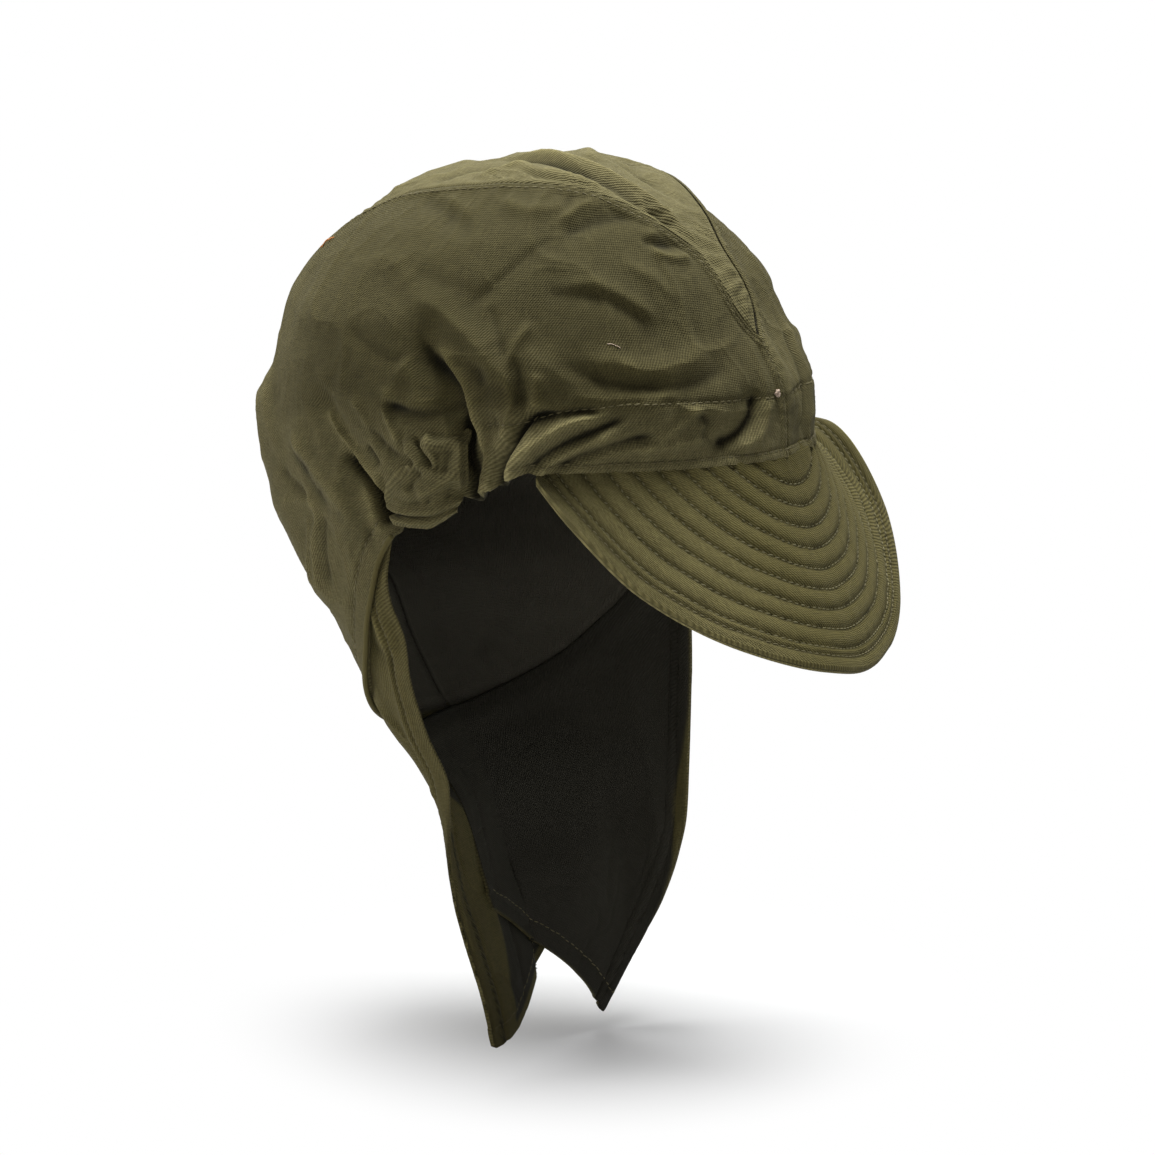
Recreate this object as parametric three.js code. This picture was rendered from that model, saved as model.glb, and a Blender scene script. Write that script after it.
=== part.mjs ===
// A soft field cap with a quilted peak and a two-piece neck flap, standing as it does on a head.
//
// Millimetres, +Z up. The peak points along -Y and the wearer's right side is -X.
// The origin is the middle of the head opening, level with the peak's seam at the brow.
//
// Every panel lies on one skin around the head, found from an angle and a height: the angle
// runs from 0 at the brow through 90 at the ear to 180 at the nape, on either side.
import * as THREE from 'three';

// Cloth and seams.
const CLOTH = 1.6;
const PEAK_THICKNESS = 3.6;
const PEAK_EDGE_THICKNESS = 1.8;
const EAR_GATHER_THICKNESS = 1.4;
const SEAM_GAP = 0.5;
const PEAK_START = 2.3;
const PEAK_EDGE_BEGINS = 0.9;

// Height where the crown's own sections hand over to those of the neck flap.
const JAW_HEIGHT = -31;

// Distance around the skin that one degree spans, near enough, for measuring folds.
const ARC_PER_DEGREE = 1.5;

// The flap's two halves pass each other at the nape, the right one outside.
const LAP_STARTS = 150;
const LAP_ENDS = 210;
const LAP_SPACING = 3.2;

const RIGHT = -1;
const LEFT = 1;

// How finely each wall is divided, around the head and up.
const GRID = {
  side: { columns: 32, rows: 13 },
  top: { columns: 26, rows: 9 },
  peak: { columns: 32, rows: 8 },
  flap: { columns: 18, rows: 17 },
  gather: { columns: 14, rows: 9 },
};

// A table as a list of rows with named columns.
function table(columns, rows) {
  const names = columns.split(' ');
  return rows.map((row) => Object.fromEntries(names.map((name, index) => [name, row[index]])));
}

// Level sections of the crown, from the top down: half its width, and y at brow, ear and nape.
const CROWN_SECTIONS = table('height half brow ear nape', [
  [98, 28, -31, -6, 24],
  [92, 39, -44, -6, 38],
  [83, 51, -56, -5, 55],
  [72, 63, -67, -4, 71.5],
  [58, 73, -79, -2, 87],
  [44, 80, -86.5, 0, 94.5],
  [20, 83.5, -99.5, 1, 99.5],
  [0, 81, -100.5, 1, 102],
  [-15, 80, -97, 4, 99.5],
  [JAW_HEIGHT, 79, -91, 10, 95.5],
  [-47, 78, -88, 12, 80.5],
]);

// Level sections of the neck flap. It is open in front, so ear is y at the front edge, and flat
// goes from 0, a quarter of an ellipse in plan, to 1, a straight run from edge to nape.
const FLAP_SECTIONS = {
  [RIGHT]: table('height half ear nape flat', [
    [-15, 80, 4, 99.5, 0],
    [JAW_HEIGHT, 79, 10, 95.5, 0],
    [-47, 78, 13, 80.5, 0],
    [-62, 75, 15, 66.5, 0],
    [-80, 70, 14.5, 58.5, 0],
    [-100, 65, 13, 46.5, 0],
    [-120, 60, 8, 32, 0.2],
    [-136, 56, 6.5, 24, 0.6],
    [-155, 52, 4.6, 19, 0.9],
    [-180, 46, 1.2, 9, 1],
    [-198, 42, -2.3, 1.6, 1],
    [-218, 38.6, -5.4, -1.4, 1],
  ]),
  [LEFT]: table('height half ear nape flat', [
    [-15, 80, 4, 99.5, 0],
    [JAW_HEIGHT, 79, 10, 95.5, 0],
    [-47, 79, 0, 80.5, 0],
    [-62, 77, -10, 66.5, 0],
    [-80, 75, -16.5, 58.5, 0],
    [-100, 74, -17.5, 46.5, 0.1],
    [-120, 73.5, -17.5, 32, 0.2],
    [-136, 73, -17.5, 24, 0.3],
    [-155, 71, -18, 19, 0.4],
    [-168, 67, -17.5, 13, 0.5],
    [-184, 60, -15.5, 8, 0.6],
    [-202, 49, -11, 4, 0.7],
    [-225, 37, -4, 2, 0.8],
  ]),
};

// A side panel's lower edge and its seam with the top panel, met at equal steps around the head.
const SIDE_OUTLINE = table('share lowTurn lowHeight seamTurn seamHeight', [
  [0, 0, 0, 0, 39],
  [1, 14, 0, 5, 52],
  [2, 28, 0, 7, 67],
  [3, 42, 0, 16, 78],
  [4, 54, 0, 30, 86.5],
  [5, 65, 0, 48, 91],
  [6, 72, -8, 65, 92],
  [7, 80, -12, 80, 92],
  [8, 88, -22, 95, 91],
  [9, 92, -34, 110, 89.5],
  [10, 95, -50, 124, 87.5],
  [11, 101, -66, 137, 84],
  [12, 113, -83, 149, 77],
  [13, 131, -97, 159, 66],
  [14, 154, -106, 169, 54],
  [15, 180, -110, 180, 44],
]);
const SIDE_STEPS = 15;

// A flap half's seam under the crown and its hem, at equal steps from front edge to lap edge.
const FLAP_OUTLINE = {
  [RIGHT]: table('share seamTurn seamHeight hemTurn hemHeight', [
    [0, 90, -29, 90, -218],
    [1, 93, -42, 102, -218.5],
    [2, 96, -55, 116, -218.5],
    [3, 103, -70.5, 130, -218.5],
    [4, 116, -85.5, 146, -216.5],
    [5, 133, -98, 163, -211.5],
    [6, 156, -106.5, 180, -202],
    [7, 180, -110, 193, -192],
    [8, 206, -110, 206, -178],
  ]),
  [LEFT]: table('share seamTurn seamHeight hemTurn hemHeight', [
    [0, 90, -29, 90, -224],
    [1, 93, -42, 102, -224],
    [2, 96, -55, 116, -222.5],
    [3, 103, -70.5, 130, -218],
    [4, 116, -85.5, 146, -210],
    [5, 133, -98, 163, -200],
    [6, 156, -106.5, 180, -189],
    [7, 180, -110, 196, -179],
    [8, 212, -110, 212, -171],
  ]),
};
const FLAP_STEPS = 8;

// How far the top panel domes above the straight line between its two seams.
const TOP_RISE = table('turn rise', [
  [0, 0],
  [8, 0.5],
  [20, 1],
  [40, 2.5],
  [60, 5],
  [90, 7],
  [120, 7],
  [150, 4],
  [180, 0],
]);
const TOP_TIP_SHARE = 0.016;
const TOP_FULLNESS = 0.8;
const TOP_LEAN = 0.6;

// The peak from its right corner to its left: how far its edge stands out from the band and
// how far it falls below it. The right half droops a little more than the left.
const PEAK_SECTIONS = table('turn out drop', [
  [-64.3, 0, 0],
  [-55, 12.5, 18],
  [-44, 20, 38.5],
  [-29, 31, 55.5],
  [-14, 37, 65.5],
  [0, 33, 70],
  [14, 29.5, 68.5],
  [29, 31, 57],
  [44, 33, 33],
  [55, 21, 3],
  [64.3, 0, 0],
]);
const PEAK_END_TURN = 62.6;

// Main folds and dents, each along a straight line on the skin. A negative depth is a dent.
const FOLDS = table('side fromTurn fromHeight toTurn toHeight depth width', [
  [RIGHT, 86, 44, 76, 12, -3.5, 8],
  [RIGHT, 71, 40, 68, 14, 2, 6],
  [RIGHT, 61, 34, 69, -4, 3, 7],
  [RIGHT, 65, 24, 76, -6, -4, 5],
  [RIGHT, 112, 14, 95, -18, -5, 7],
  [RIGHT, 122, -2, 104, -20, 3, 8],
  [RIGHT, 66, 4, 38, 18, 2, 6],
  [RIGHT, 12, 20, 22, 8, -2, 6],
  [RIGHT, 150, 10, 122, -50, 3, 11],
  [LEFT, 86, 40, 78, 10, -3, 9],
  [LEFT, 68, 30, 74, -4, 3, 8],
  [LEFT, 110, 10, 96, -16, -4, 8],
  [LEFT, 164, 12, 158, -26, 8, 13],
  [LEFT, 12, 30, 10, 4, -1.5, 6],
]);

// The gathered ear edge: a puckered band folded over outside the crown, narrower at its top.
const GATHER = {
  middleTurn: 86,
  halfTurn: 8,
  narrowing: 0.35,
  top: 8,
  bottom: -21,
  stand: 3.5,
  puff: 3.4,
  pucker: 0.9,
  puckers: 3,
};

const colours = {
  crown: new THREE.Color(0.045, 0.048, 0.018),
  peak: new THREE.Color(0.055, 0.06, 0.026),
  flap: new THREE.Color(0.04, 0.043, 0.016),
};

function cloth(colour) {
  return new THREE.MeshStandardMaterial({ color: colour, roughness: 0.85, metalness: 0 });
}

// The value of a column at a place between rows, along a curve that never overshoots them.
function smooth(rows, key, column, at) {
  const points = rows.map((row) => [row[key], row[column]]).sort((a, b) => a[0] - b[0]);
  const last = points.length - 1;
  if (at <= points[0][0]) return points[0][1];
  if (at >= points[last][0]) return points[last][1];
  const slope = (index) =>
    (points[index + 1][1] - points[index][1]) / (points[index + 1][0] - points[index][0]);
  const tangent = (index) => {
    if (index === 0) return slope(0);
    if (index === last) return slope(last - 1);
    const before = slope(index - 1);
    const after = slope(index);
    if (before * after <= 0) return 0;
    const gapBefore = points[index][0] - points[index - 1][0];
    const gapAfter = points[index + 1][0] - points[index][0];
    const weightBefore = 2 * gapAfter + gapBefore;
    const weightAfter = gapAfter + 2 * gapBefore;
    return (weightBefore + weightAfter) / (weightBefore / before + weightAfter / after);
  };
  const index = points.findIndex((point) => point[0] > at) - 1;
  const gap = points[index + 1][0] - points[index][0];
  const t = (at - points[index][0]) / gap;
  return (
    (2 * t ** 3 - 3 * t ** 2 + 1) * points[index][1] +
    (t ** 3 - 2 * t ** 2 + t) * gap * tangent(index) +
    (3 * t ** 2 - 2 * t ** 3) * points[index + 1][1] +
    (t ** 3 - t ** 2) * gap * tangent(index + 1)
  );
}

function between(low, high, share) {
  return low + (high - low) * share;
}

// The level direction straight out of the skin at an angle around the head.
function outward(side, turn) {
  const angle = THREE.MathUtils.degToRad(turn);
  return new THREE.Vector3(side * Math.sin(angle), -Math.cos(angle), 0);
}

// A point of the bare skin, with no folds. Past the nape it goes on over the other side.
function skin(side, turn, height) {
  if (turn > 180) return skin(-side, 360 - turn, height);
  const onCrown = height >= JAW_HEIGHT;
  const rows = onCrown ? CROWN_SECTIONS : FLAP_SECTIONS[side];
  const value = (column) => smooth(rows, 'height', column, height);
  const angle = THREE.MathUtils.degToRad(turn);
  const x = side * value('half') * Math.sin(angle);
  if (turn < 90) {
    const brow = onCrown ? value('brow') : smooth(CROWN_SECTIONS, 'height', 'brow', height);
    return new THREE.Vector3(x, between(value('ear'), brow, Math.cos(angle)), height);
  }
  const flat = onCrown ? 0 : value('flat');
  const share = between(-Math.cos(angle), 1 - Math.sin(angle), flat);
  return new THREE.Vector3(x, between(value('ear'), value('nape'), share), height);
}

// How far the folds lift or sink the skin at a place.
function foldLift(side, turn, height) {
  const here = new THREE.Vector3(turn * ARC_PER_DEGREE, height, 0);
  return FOLDS.filter((fold) => fold.side === side).reduce((lift, fold) => {
    const line = new THREE.Line3(
      new THREE.Vector3(fold.fromTurn * ARC_PER_DEGREE, fold.fromHeight, 0),
      new THREE.Vector3(fold.toTurn * ARC_PER_DEGREE, fold.toHeight, 0),
    );
    const away = line.closestPointToPoint(here, true, new THREE.Vector3()).distanceTo(here);
    return lift + fold.depth * Math.exp(-((away / fold.width) ** 2));
  }, 0);
}

function crownSkin(side, turn, height) {
  return skin(side, turn, height).addScaledVector(outward(side, turn), foldLift(side, turn, height));
}

// A closed wall over a grid of places. place(u, v) gives the middle of the wall for u and v from
// 0 to 1, and thickness(u, v) how thick it is there.
function wall(place, { columns, rows }, thickness) {
  const step = 0.001;
  const faceDirection = (u, v) => {
    const alongU = place(Math.min(u + step, 1), v).sub(place(Math.max(u - step, 0), v));
    const alongV = place(u, Math.min(v + step, 1)).sub(place(u, Math.max(v - step, 0)));
    return alongU.cross(alongV).normalize();
  };
  const positions = [];
  for (const face of [0.5, -0.5]) {
    for (let i = 0; i <= columns; i += 1) {
      for (let j = 0; j <= rows; j += 1) {
        const u = i / columns;
        const v = j / rows;
        const point = place(u, v).addScaledVector(faceDirection(u, v), face * thickness(u, v));
        positions.push(point.x, point.y, point.z);
      }
    }
  }
  const layer = (columns + 1) * (rows + 1);
  const at = (i, j, face) => face * layer + i * (rows + 1) + j;
  const index = [];
  const quad = (a, b, c, d) => index.push(a, b, c, a, c, d);
  for (let i = 0; i < columns; i += 1) {
    for (let j = 0; j < rows; j += 1) {
      quad(at(i, j, 0), at(i + 1, j, 0), at(i + 1, j + 1, 0), at(i, j + 1, 0));
      quad(at(i, j, 1), at(i, j + 1, 1), at(i + 1, j + 1, 1), at(i + 1, j, 1));
    }
  }
  for (let i = 0; i < columns; i += 1) {
    quad(at(i, 0, 1), at(i + 1, 0, 1), at(i + 1, 0, 0), at(i, 0, 0));
    quad(at(i, rows, 0), at(i + 1, rows, 0), at(i + 1, rows, 1), at(i, rows, 1));
  }
  for (let j = 0; j < rows; j += 1) {
    quad(at(0, j, 0), at(0, j + 1, 0), at(0, j + 1, 1), at(0, j, 1));
    quad(at(columns, j, 1), at(columns, j + 1, 1), at(columns, j + 1, 0), at(columns, j, 0));
  }
  const geometry = new THREE.BufferGeometry();
  geometry.setAttribute('position', new THREE.Float32BufferAttribute(positions, 3));
  geometry.setIndex(index);
  geometry.computeVertexNormals();
  return geometry;
}

// One side of the crown in a single piece: from the centre-front seam to the centre-back seam,
// and from the band, the ear and the nape seam up to the top panel.
function sidePanel(side) {
  const outline = (column, share) => smooth(SIDE_OUTLINE, 'share', column, share * SIDE_STEPS);
  const place = (u, v) => {
    const share = side === RIGHT ? 1 - u : u;
    const low = outline('lowHeight', share) + SEAM_GAP * (share > 0.5 ? 1 : 0);
    const high = outline('seamHeight', share) - SEAM_GAP;
    const turn = between(outline('lowTurn', share), outline('seamTurn', share), v);
    const point = crownSkin(side, turn, between(low, high, v));
    return point.setX(point.x + (side * SEAM_GAP) / 2);
  };
  return wall(place, GRID.side, () => CLOTH);
}

// The pointed oval on top, domed between the two side seams.
function topPanel() {
  const place = (u, v) => {
    const share = between(TOP_TIP_SHARE, 1 - TOP_TIP_SHARE, u) * SIDE_STEPS;
    const turn = smooth(SIDE_OUTLINE, 'share', 'seamTurn', share);
    const height = smooth(SIDE_OUTLINE, 'share', 'seamHeight', share);
    const edge = crownSkin(LEFT, turn, height);
    const across = between(-1, 1, v);
    const rise = smooth(TOP_RISE, 'turn', 'rise', turn) * (1 - across * across) ** TOP_FULLNESS;
    const lean = THREE.MathUtils.degToRad(90 - turn) * TOP_LEAN;
    return new THREE.Vector3(
      across * (edge.x - SEAM_GAP),
      edge.y - rise * Math.sin(lean),
      edge.z + rise * Math.cos(lean),
    );
  };
  return wall(place, GRID.top, () => CLOTH);
}

// The stiff quilted peak, sewn under the band and thinner along its edge.
function peak() {
  const place = (u, v) => {
    const turn = between(-PEAK_END_TURN, PEAK_END_TURN, u);
    const side = turn < 0 ? RIGHT : LEFT;
    const band = skin(side, Math.abs(turn), 0);
    const out = smooth(PEAK_SECTIONS, 'turn', 'out', turn);
    const drop = smooth(PEAK_SECTIONS, 'turn', 'drop', turn);
    band.z = -between(PEAK_START, Math.max(drop, PEAK_START), v);
    return band.addScaledVector(outward(side, Math.abs(turn)), out * v);
  };
  const thickness = (u, v) =>
    between(PEAK_THICKNESS, PEAK_EDGE_THICKNESS, THREE.MathUtils.smoothstep(v, PEAK_EDGE_BEGINS, 1));
  return wall(place, GRID.peak, thickness);
}

// One half of the neck flap, from its front edge by the cheek to its edge past the nape.
function flapHalf(side) {
  const outline = (column, share) => smooth(FLAP_OUTLINE[side], 'share', column, share * FLAP_STEPS);
  const place = (u, v) => {
    const share = side === RIGHT ? 1 - u : u;
    const turn = between(outline('seamTurn', share), outline('hemTurn', share), 1 - v);
    const height = between(outline('hemHeight', share), outline('seamHeight', share) - SEAM_GAP, v);
    const lap = THREE.MathUtils.clamp((turn - LAP_STARTS) / (LAP_ENDS - LAP_STARTS), 0, 1);
    const point = skin(side, turn, height);
    return point.setY(point.y - side * lap * LAP_SPACING);
  };
  return wall(place, GRID.flap, () => CLOTH);
}

// The ear edge gathered by elastic: a puffed band with puckers, folded over outside the crown.
function earGather(side) {
  const place = (u, v) => {
    const share = side === RIGHT ? 1 - u : u;
    const reach = GATHER.halfTurn * (1 - GATHER.narrowing * v * v);
    const turn = GATHER.middleTurn + between(-reach, reach, share);
    const height = between(GATHER.bottom, GATHER.top, v);
    const fullness = Math.sin(Math.PI * share) * Math.sin(Math.PI * v) ** 0.7;
    const pucker = Math.cos(2 * Math.PI * GATHER.puckers * share) * (1 - v);
    const lift = GATHER.stand + GATHER.puff * fullness + GATHER.pucker * pucker;
    return crownSkin(side, turn, height).addScaledVector(outward(side, turn), lift);
  };
  return wall(place, GRID.gather, () => EAR_GATHER_THICKNESS);
}

const cap = new THREE.Group();

function add(name, geometry, colour) {
  const mesh = new THREE.Mesh(geometry, cloth(colour));
  mesh.name = name;
  cap.add(mesh);
}

for (const [side, word] of [
  [RIGHT, 'right'],
  [LEFT, 'left'],
]) {
  add(`crown_side_${word}`, sidePanel(side), colours.crown);
  add(`neck_flap_${word}`, flapHalf(side), colours.flap);
  add(`ear_gather_${word}`, earGather(side), colours.crown);
}
add('crown_top', topPanel(), colours.crown);
add('peak', peak(), colours.peak);

export default cap;
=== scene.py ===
import math

import bpy
import numpy as np
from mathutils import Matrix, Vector
from mathutils.bvhtree import BVHTree
from mathutils.kdtree import KDTree


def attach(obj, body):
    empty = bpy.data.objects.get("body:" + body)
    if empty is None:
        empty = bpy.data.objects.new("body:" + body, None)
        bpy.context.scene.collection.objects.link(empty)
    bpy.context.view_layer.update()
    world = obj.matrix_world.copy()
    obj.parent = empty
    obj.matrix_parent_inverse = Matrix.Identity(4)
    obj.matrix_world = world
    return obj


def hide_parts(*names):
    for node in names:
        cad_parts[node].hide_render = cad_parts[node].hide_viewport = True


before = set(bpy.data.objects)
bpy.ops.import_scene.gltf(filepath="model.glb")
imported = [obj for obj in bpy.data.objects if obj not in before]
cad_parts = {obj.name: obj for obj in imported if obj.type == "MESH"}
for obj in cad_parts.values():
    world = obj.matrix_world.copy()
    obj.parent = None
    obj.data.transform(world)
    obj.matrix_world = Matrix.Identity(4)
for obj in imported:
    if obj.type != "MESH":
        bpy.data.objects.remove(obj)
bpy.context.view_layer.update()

# An olive cotton field cap: a crown of two side panels and an oval top, a quilted peak, a
# gathered edge over each ear and a neck flap in two lapped halves. Shapes are worked out in
# millimetres and written to the meshes in metres. Turn runs from 0 at the brow through 90 at
# the ear to 180 at the nape, on either side.
MM = 0.001
RIGHT = -1
LEFT = 1
WORD = {RIGHT: "right", LEFT: "left"}

# Cloth, seams and edges.
CLOTH = 1.6
HEM_CLOTH = 1.4
SEAM_GAP = 0.24
JAW_HEIGHT = -31
ARC_PER_DEGREE = 1.5
FLAP_ARC_PER_DEGREE = 1.1
LAP_STARTS = 150
LAP_ENDS = 210
LAP_SPACING = 3.2
SEAM_ALLOWANCE = 5.0
TUCK_STARTS = 0.955
TUCK_DEPTH = 1.75
FOLD_DEPTH = 1.9
FOLD_REACH = (5, 6)
STITCH_PITCH = 2.9
STITCH_LENGTH = 2.3
STITCH_WIDTH = 0.55
PIPING_RADIUS = 1.05
PIPING_STAND = 1.35
BINDING_RADIUS = 0.85
BINDING_DEPTH = 0.95
MEASURE_STEP = 0.5
SMOOTH_ANGLE = math.radians(80)

# How finely each panel's grid is divided.
GRID = {
    "side": (300, 150),
    "top": (220, 110),
    "flap": (130, 180),
    "cuff": (84, 100),
    "peak": (330, 166),
}
# A side panel's columns stand closest together around the ear, where the cloth is most crumpled.
SIDE_COLUMNS = ((0, 0.25, 0.68, 1), (0, 0.3, 0.62, 1))


def table(columns, rows):
    """Rows with named columns, in order of the first one."""
    names = columns.split()
    values = np.array(sorted(rows), float).T
    return {"key": names[0], **dict(zip(names, values))}


# Level sections of the crown: half its width, and y at brow, ear and nape.
CROWN_SECTIONS = table("height half brow ear nape", [
    (98, 28, -31, -6, 24),
    (92, 39, -44, -6, 38),
    (83, 51, -56, -5, 55),
    (72, 63, -67, -4, 71.5),
    (58, 73, -79, -2, 87),
    (44, 80, -86.5, 0, 94.5),
    (20, 83.5, -99.5, 1, 99.5),
    (0, 81, -100.5, 1, 102),
    (-15, 80, -97, 4, 99.5),
    (JAW_HEIGHT, 79, -91, 10, 95.5),
    (-47, 78, -88, 12, 80.5),
])

# Level sections of the neck flap. It is open in front, so ear is y at the front edge, and flat
# goes from 0, a quarter of an ellipse in plan, to 1, a straight run from edge to nape.
FLAP_SECTIONS = {
    RIGHT: table("height half ear nape flat", [
        (-15, 80, 4, 99.5, 0),
        (JAW_HEIGHT, 79, 10, 95.5, 0),
        (-47, 78, 13, 80.5, 0),
        (-62, 75, 15, 66.5, 0),
        (-80, 70, 14.5, 58.5, 0),
        (-100, 65, 13, 46.5, 0),
        (-120, 60, 8, 32, 0.2),
        (-136, 56, 6.5, 24, 0.6),
        (-155, 52, 4.6, 19, 0.9),
        (-180, 46, 1.2, 9, 1),
        (-198, 42, -2.3, 1.6, 1),
        (-218, 38.6, -5.4, -1.4, 1),
    ]),
    LEFT: table("height half ear nape flat", [
        (-15, 80, 4, 99.5, 0),
        (JAW_HEIGHT, 79, 10, 95.5, 0),
        (-47, 79, 0, 80.5, 0),
        (-62, 77, -10, 66.5, 0),
        (-80, 75, -16.5, 58.5, 0),
        (-100, 74, -17.5, 46.5, 0.1),
        (-120, 73.5, -17.5, 32, 0.2),
        (-136, 73, -17.5, 24, 0.3),
        (-155, 71, -18, 19, 0.4),
        (-168, 67, -17.5, 13, 0.5),
        (-184, 60, -15.5, 8, 0.6),
        (-202, 49, -11, 4, 0.7),
        (-225, 37, -4, 2, 0.8),
    ]),
}

# A side panel's lower edge and its seam with the top panel, at equal steps around the head.
SIDE_OUTLINE = table("share lowTurn lowHeight seamTurn seamHeight", [
    (0, 0, 0, 0, 39),
    (1, 14, 0, 5, 52),
    (2, 28, 0, 7, 67),
    (3, 42, 0, 16, 78),
    (4, 54, 0, 30, 86.5),
    (5, 65, 0, 48, 91),
    (6, 72, -8, 65, 92),
    (7, 80, -12, 80, 92),
    (8, 88, -22, 95, 91),
    (9, 92, -34, 110, 89.5),
    (10, 95, -50, 124, 87.5),
    (11, 101, -66, 137, 84),
    (12, 113, -83, 149, 77),
    (13, 131, -97, 159, 66),
    (14, 154, -106, 169, 54),
    (15, 180, -110, 180, 44),
])
SIDE_STEPS = 15

# A flap half's seam under the crown and its hem, from front edge to lap edge.
FLAP_OUTLINE = {
    RIGHT: table("share seamTurn seamHeight hemTurn hemHeight", [
        (0, 90, -29, 90, -218),
        (1, 93, -42, 102, -218.5),
        (2, 96, -55, 116, -218.5),
        (3, 103, -70.5, 130, -218.5),
        (4, 116, -85.5, 146, -216.5),
        (5, 133, -98, 163, -211.5),
        (6, 156, -106.5, 180, -202),
        (7, 180, -110, 193, -192),
        (8, 206, -110, 206, -178),
    ]),
    LEFT: table("share seamTurn seamHeight hemTurn hemHeight", [
        (0, 90, -29, 90, -224),
        (1, 93, -42, 102, -224),
        (2, 96, -55, 116, -222.5),
        (3, 103, -70.5, 130, -218),
        (4, 116, -85.5, 146, -210),
        (5, 133, -98, 163, -200),
        (6, 156, -106.5, 180, -189),
        (7, 180, -110, 196, -179),
        (8, 212, -110, 212, -171),
    ]),
}
FLAP_STEPS = 8

# How far the top panel domes above the straight line between its two seams.
TOP_RISE = table("turn rise", [
    (0, 0),
    (8, 0.5),
    (20, 1),
    (40, 2.5),
    (60, 5),
    (90, 7),
    (120, 7),
    (150, 4),
    (180, 0),
])
TOP_TIP_SHARE = 0.005
TOP_FULLNESS = 0.8
TOP_LEAN = 0.6

# The peak from its right corner to its left: how far its edge stands out and falls.
PEAK_SECTIONS = table("turn out drop", [
    (-64.3, 0, 0),
    (-55, 12.5, 18),
    (-44, 20, 38.5),
    (-29, 31, 55.5),
    (-14, 37, 65.5),
    (0, 33, 70),
    (14, 29.5, 68.5),
    (29, 31, 57),
    (44, 33, 33),
    (55, 21, 3),
    (64.3, 0, 0),
])
PEAK_END_TURN = 62.6
PEAK_THICKNESS = 3.2
PEAK_ROLL = 2.1
PEAK_TUCK = 2.9
PEAK_TUCK_HEIGHT = 5.0
PEAK_TUCK_SHARE = 0.06
PEAK_EDGE_ROW = 4.0
PEAK_MARGIN = 7.0
PEAK_ROW_SPACING = 7.2
PEAK_ROWS = 9
PEAK_QUILT_DEPTH = 1.25
# How finely the distances from the peak's edge are mapped.
PEAK_MAP = (420, 160)

# The crown's main folds, each along a straight line: side, from, to, depth and width.
MAIN_FOLDS = (
    (RIGHT, (86, 44), (76, 12), -3.5, 8),
    (RIGHT, (71, 40), (68, 14), 2, 6),
    (RIGHT, (61, 34), (69, -4), 3, 7),
    (RIGHT, (65, 24), (76, -6), -4, 5),
    (RIGHT, (112, 14), (95, -18), -5, 7),
    (RIGHT, (122, -2), (104, -20), 3, 8),
    (RIGHT, (66, 4), (38, 18), 2, 6),
    (RIGHT, (12, 20), (22, 8), -2, 6),
    (RIGHT, (150, 10), (122, -50), 3, 11),
    (LEFT, (86, 40), (78, 10), -3, 9),
    (LEFT, (68, 30), (74, -4), 3, 8),
    (LEFT, (110, 10), (96, -16), -4, 8),
    (LEFT, (164, 12), (158, -26), 8, 13),
    (LEFT, (12, 30), (10, 4), -1.5, 6),
)

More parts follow.
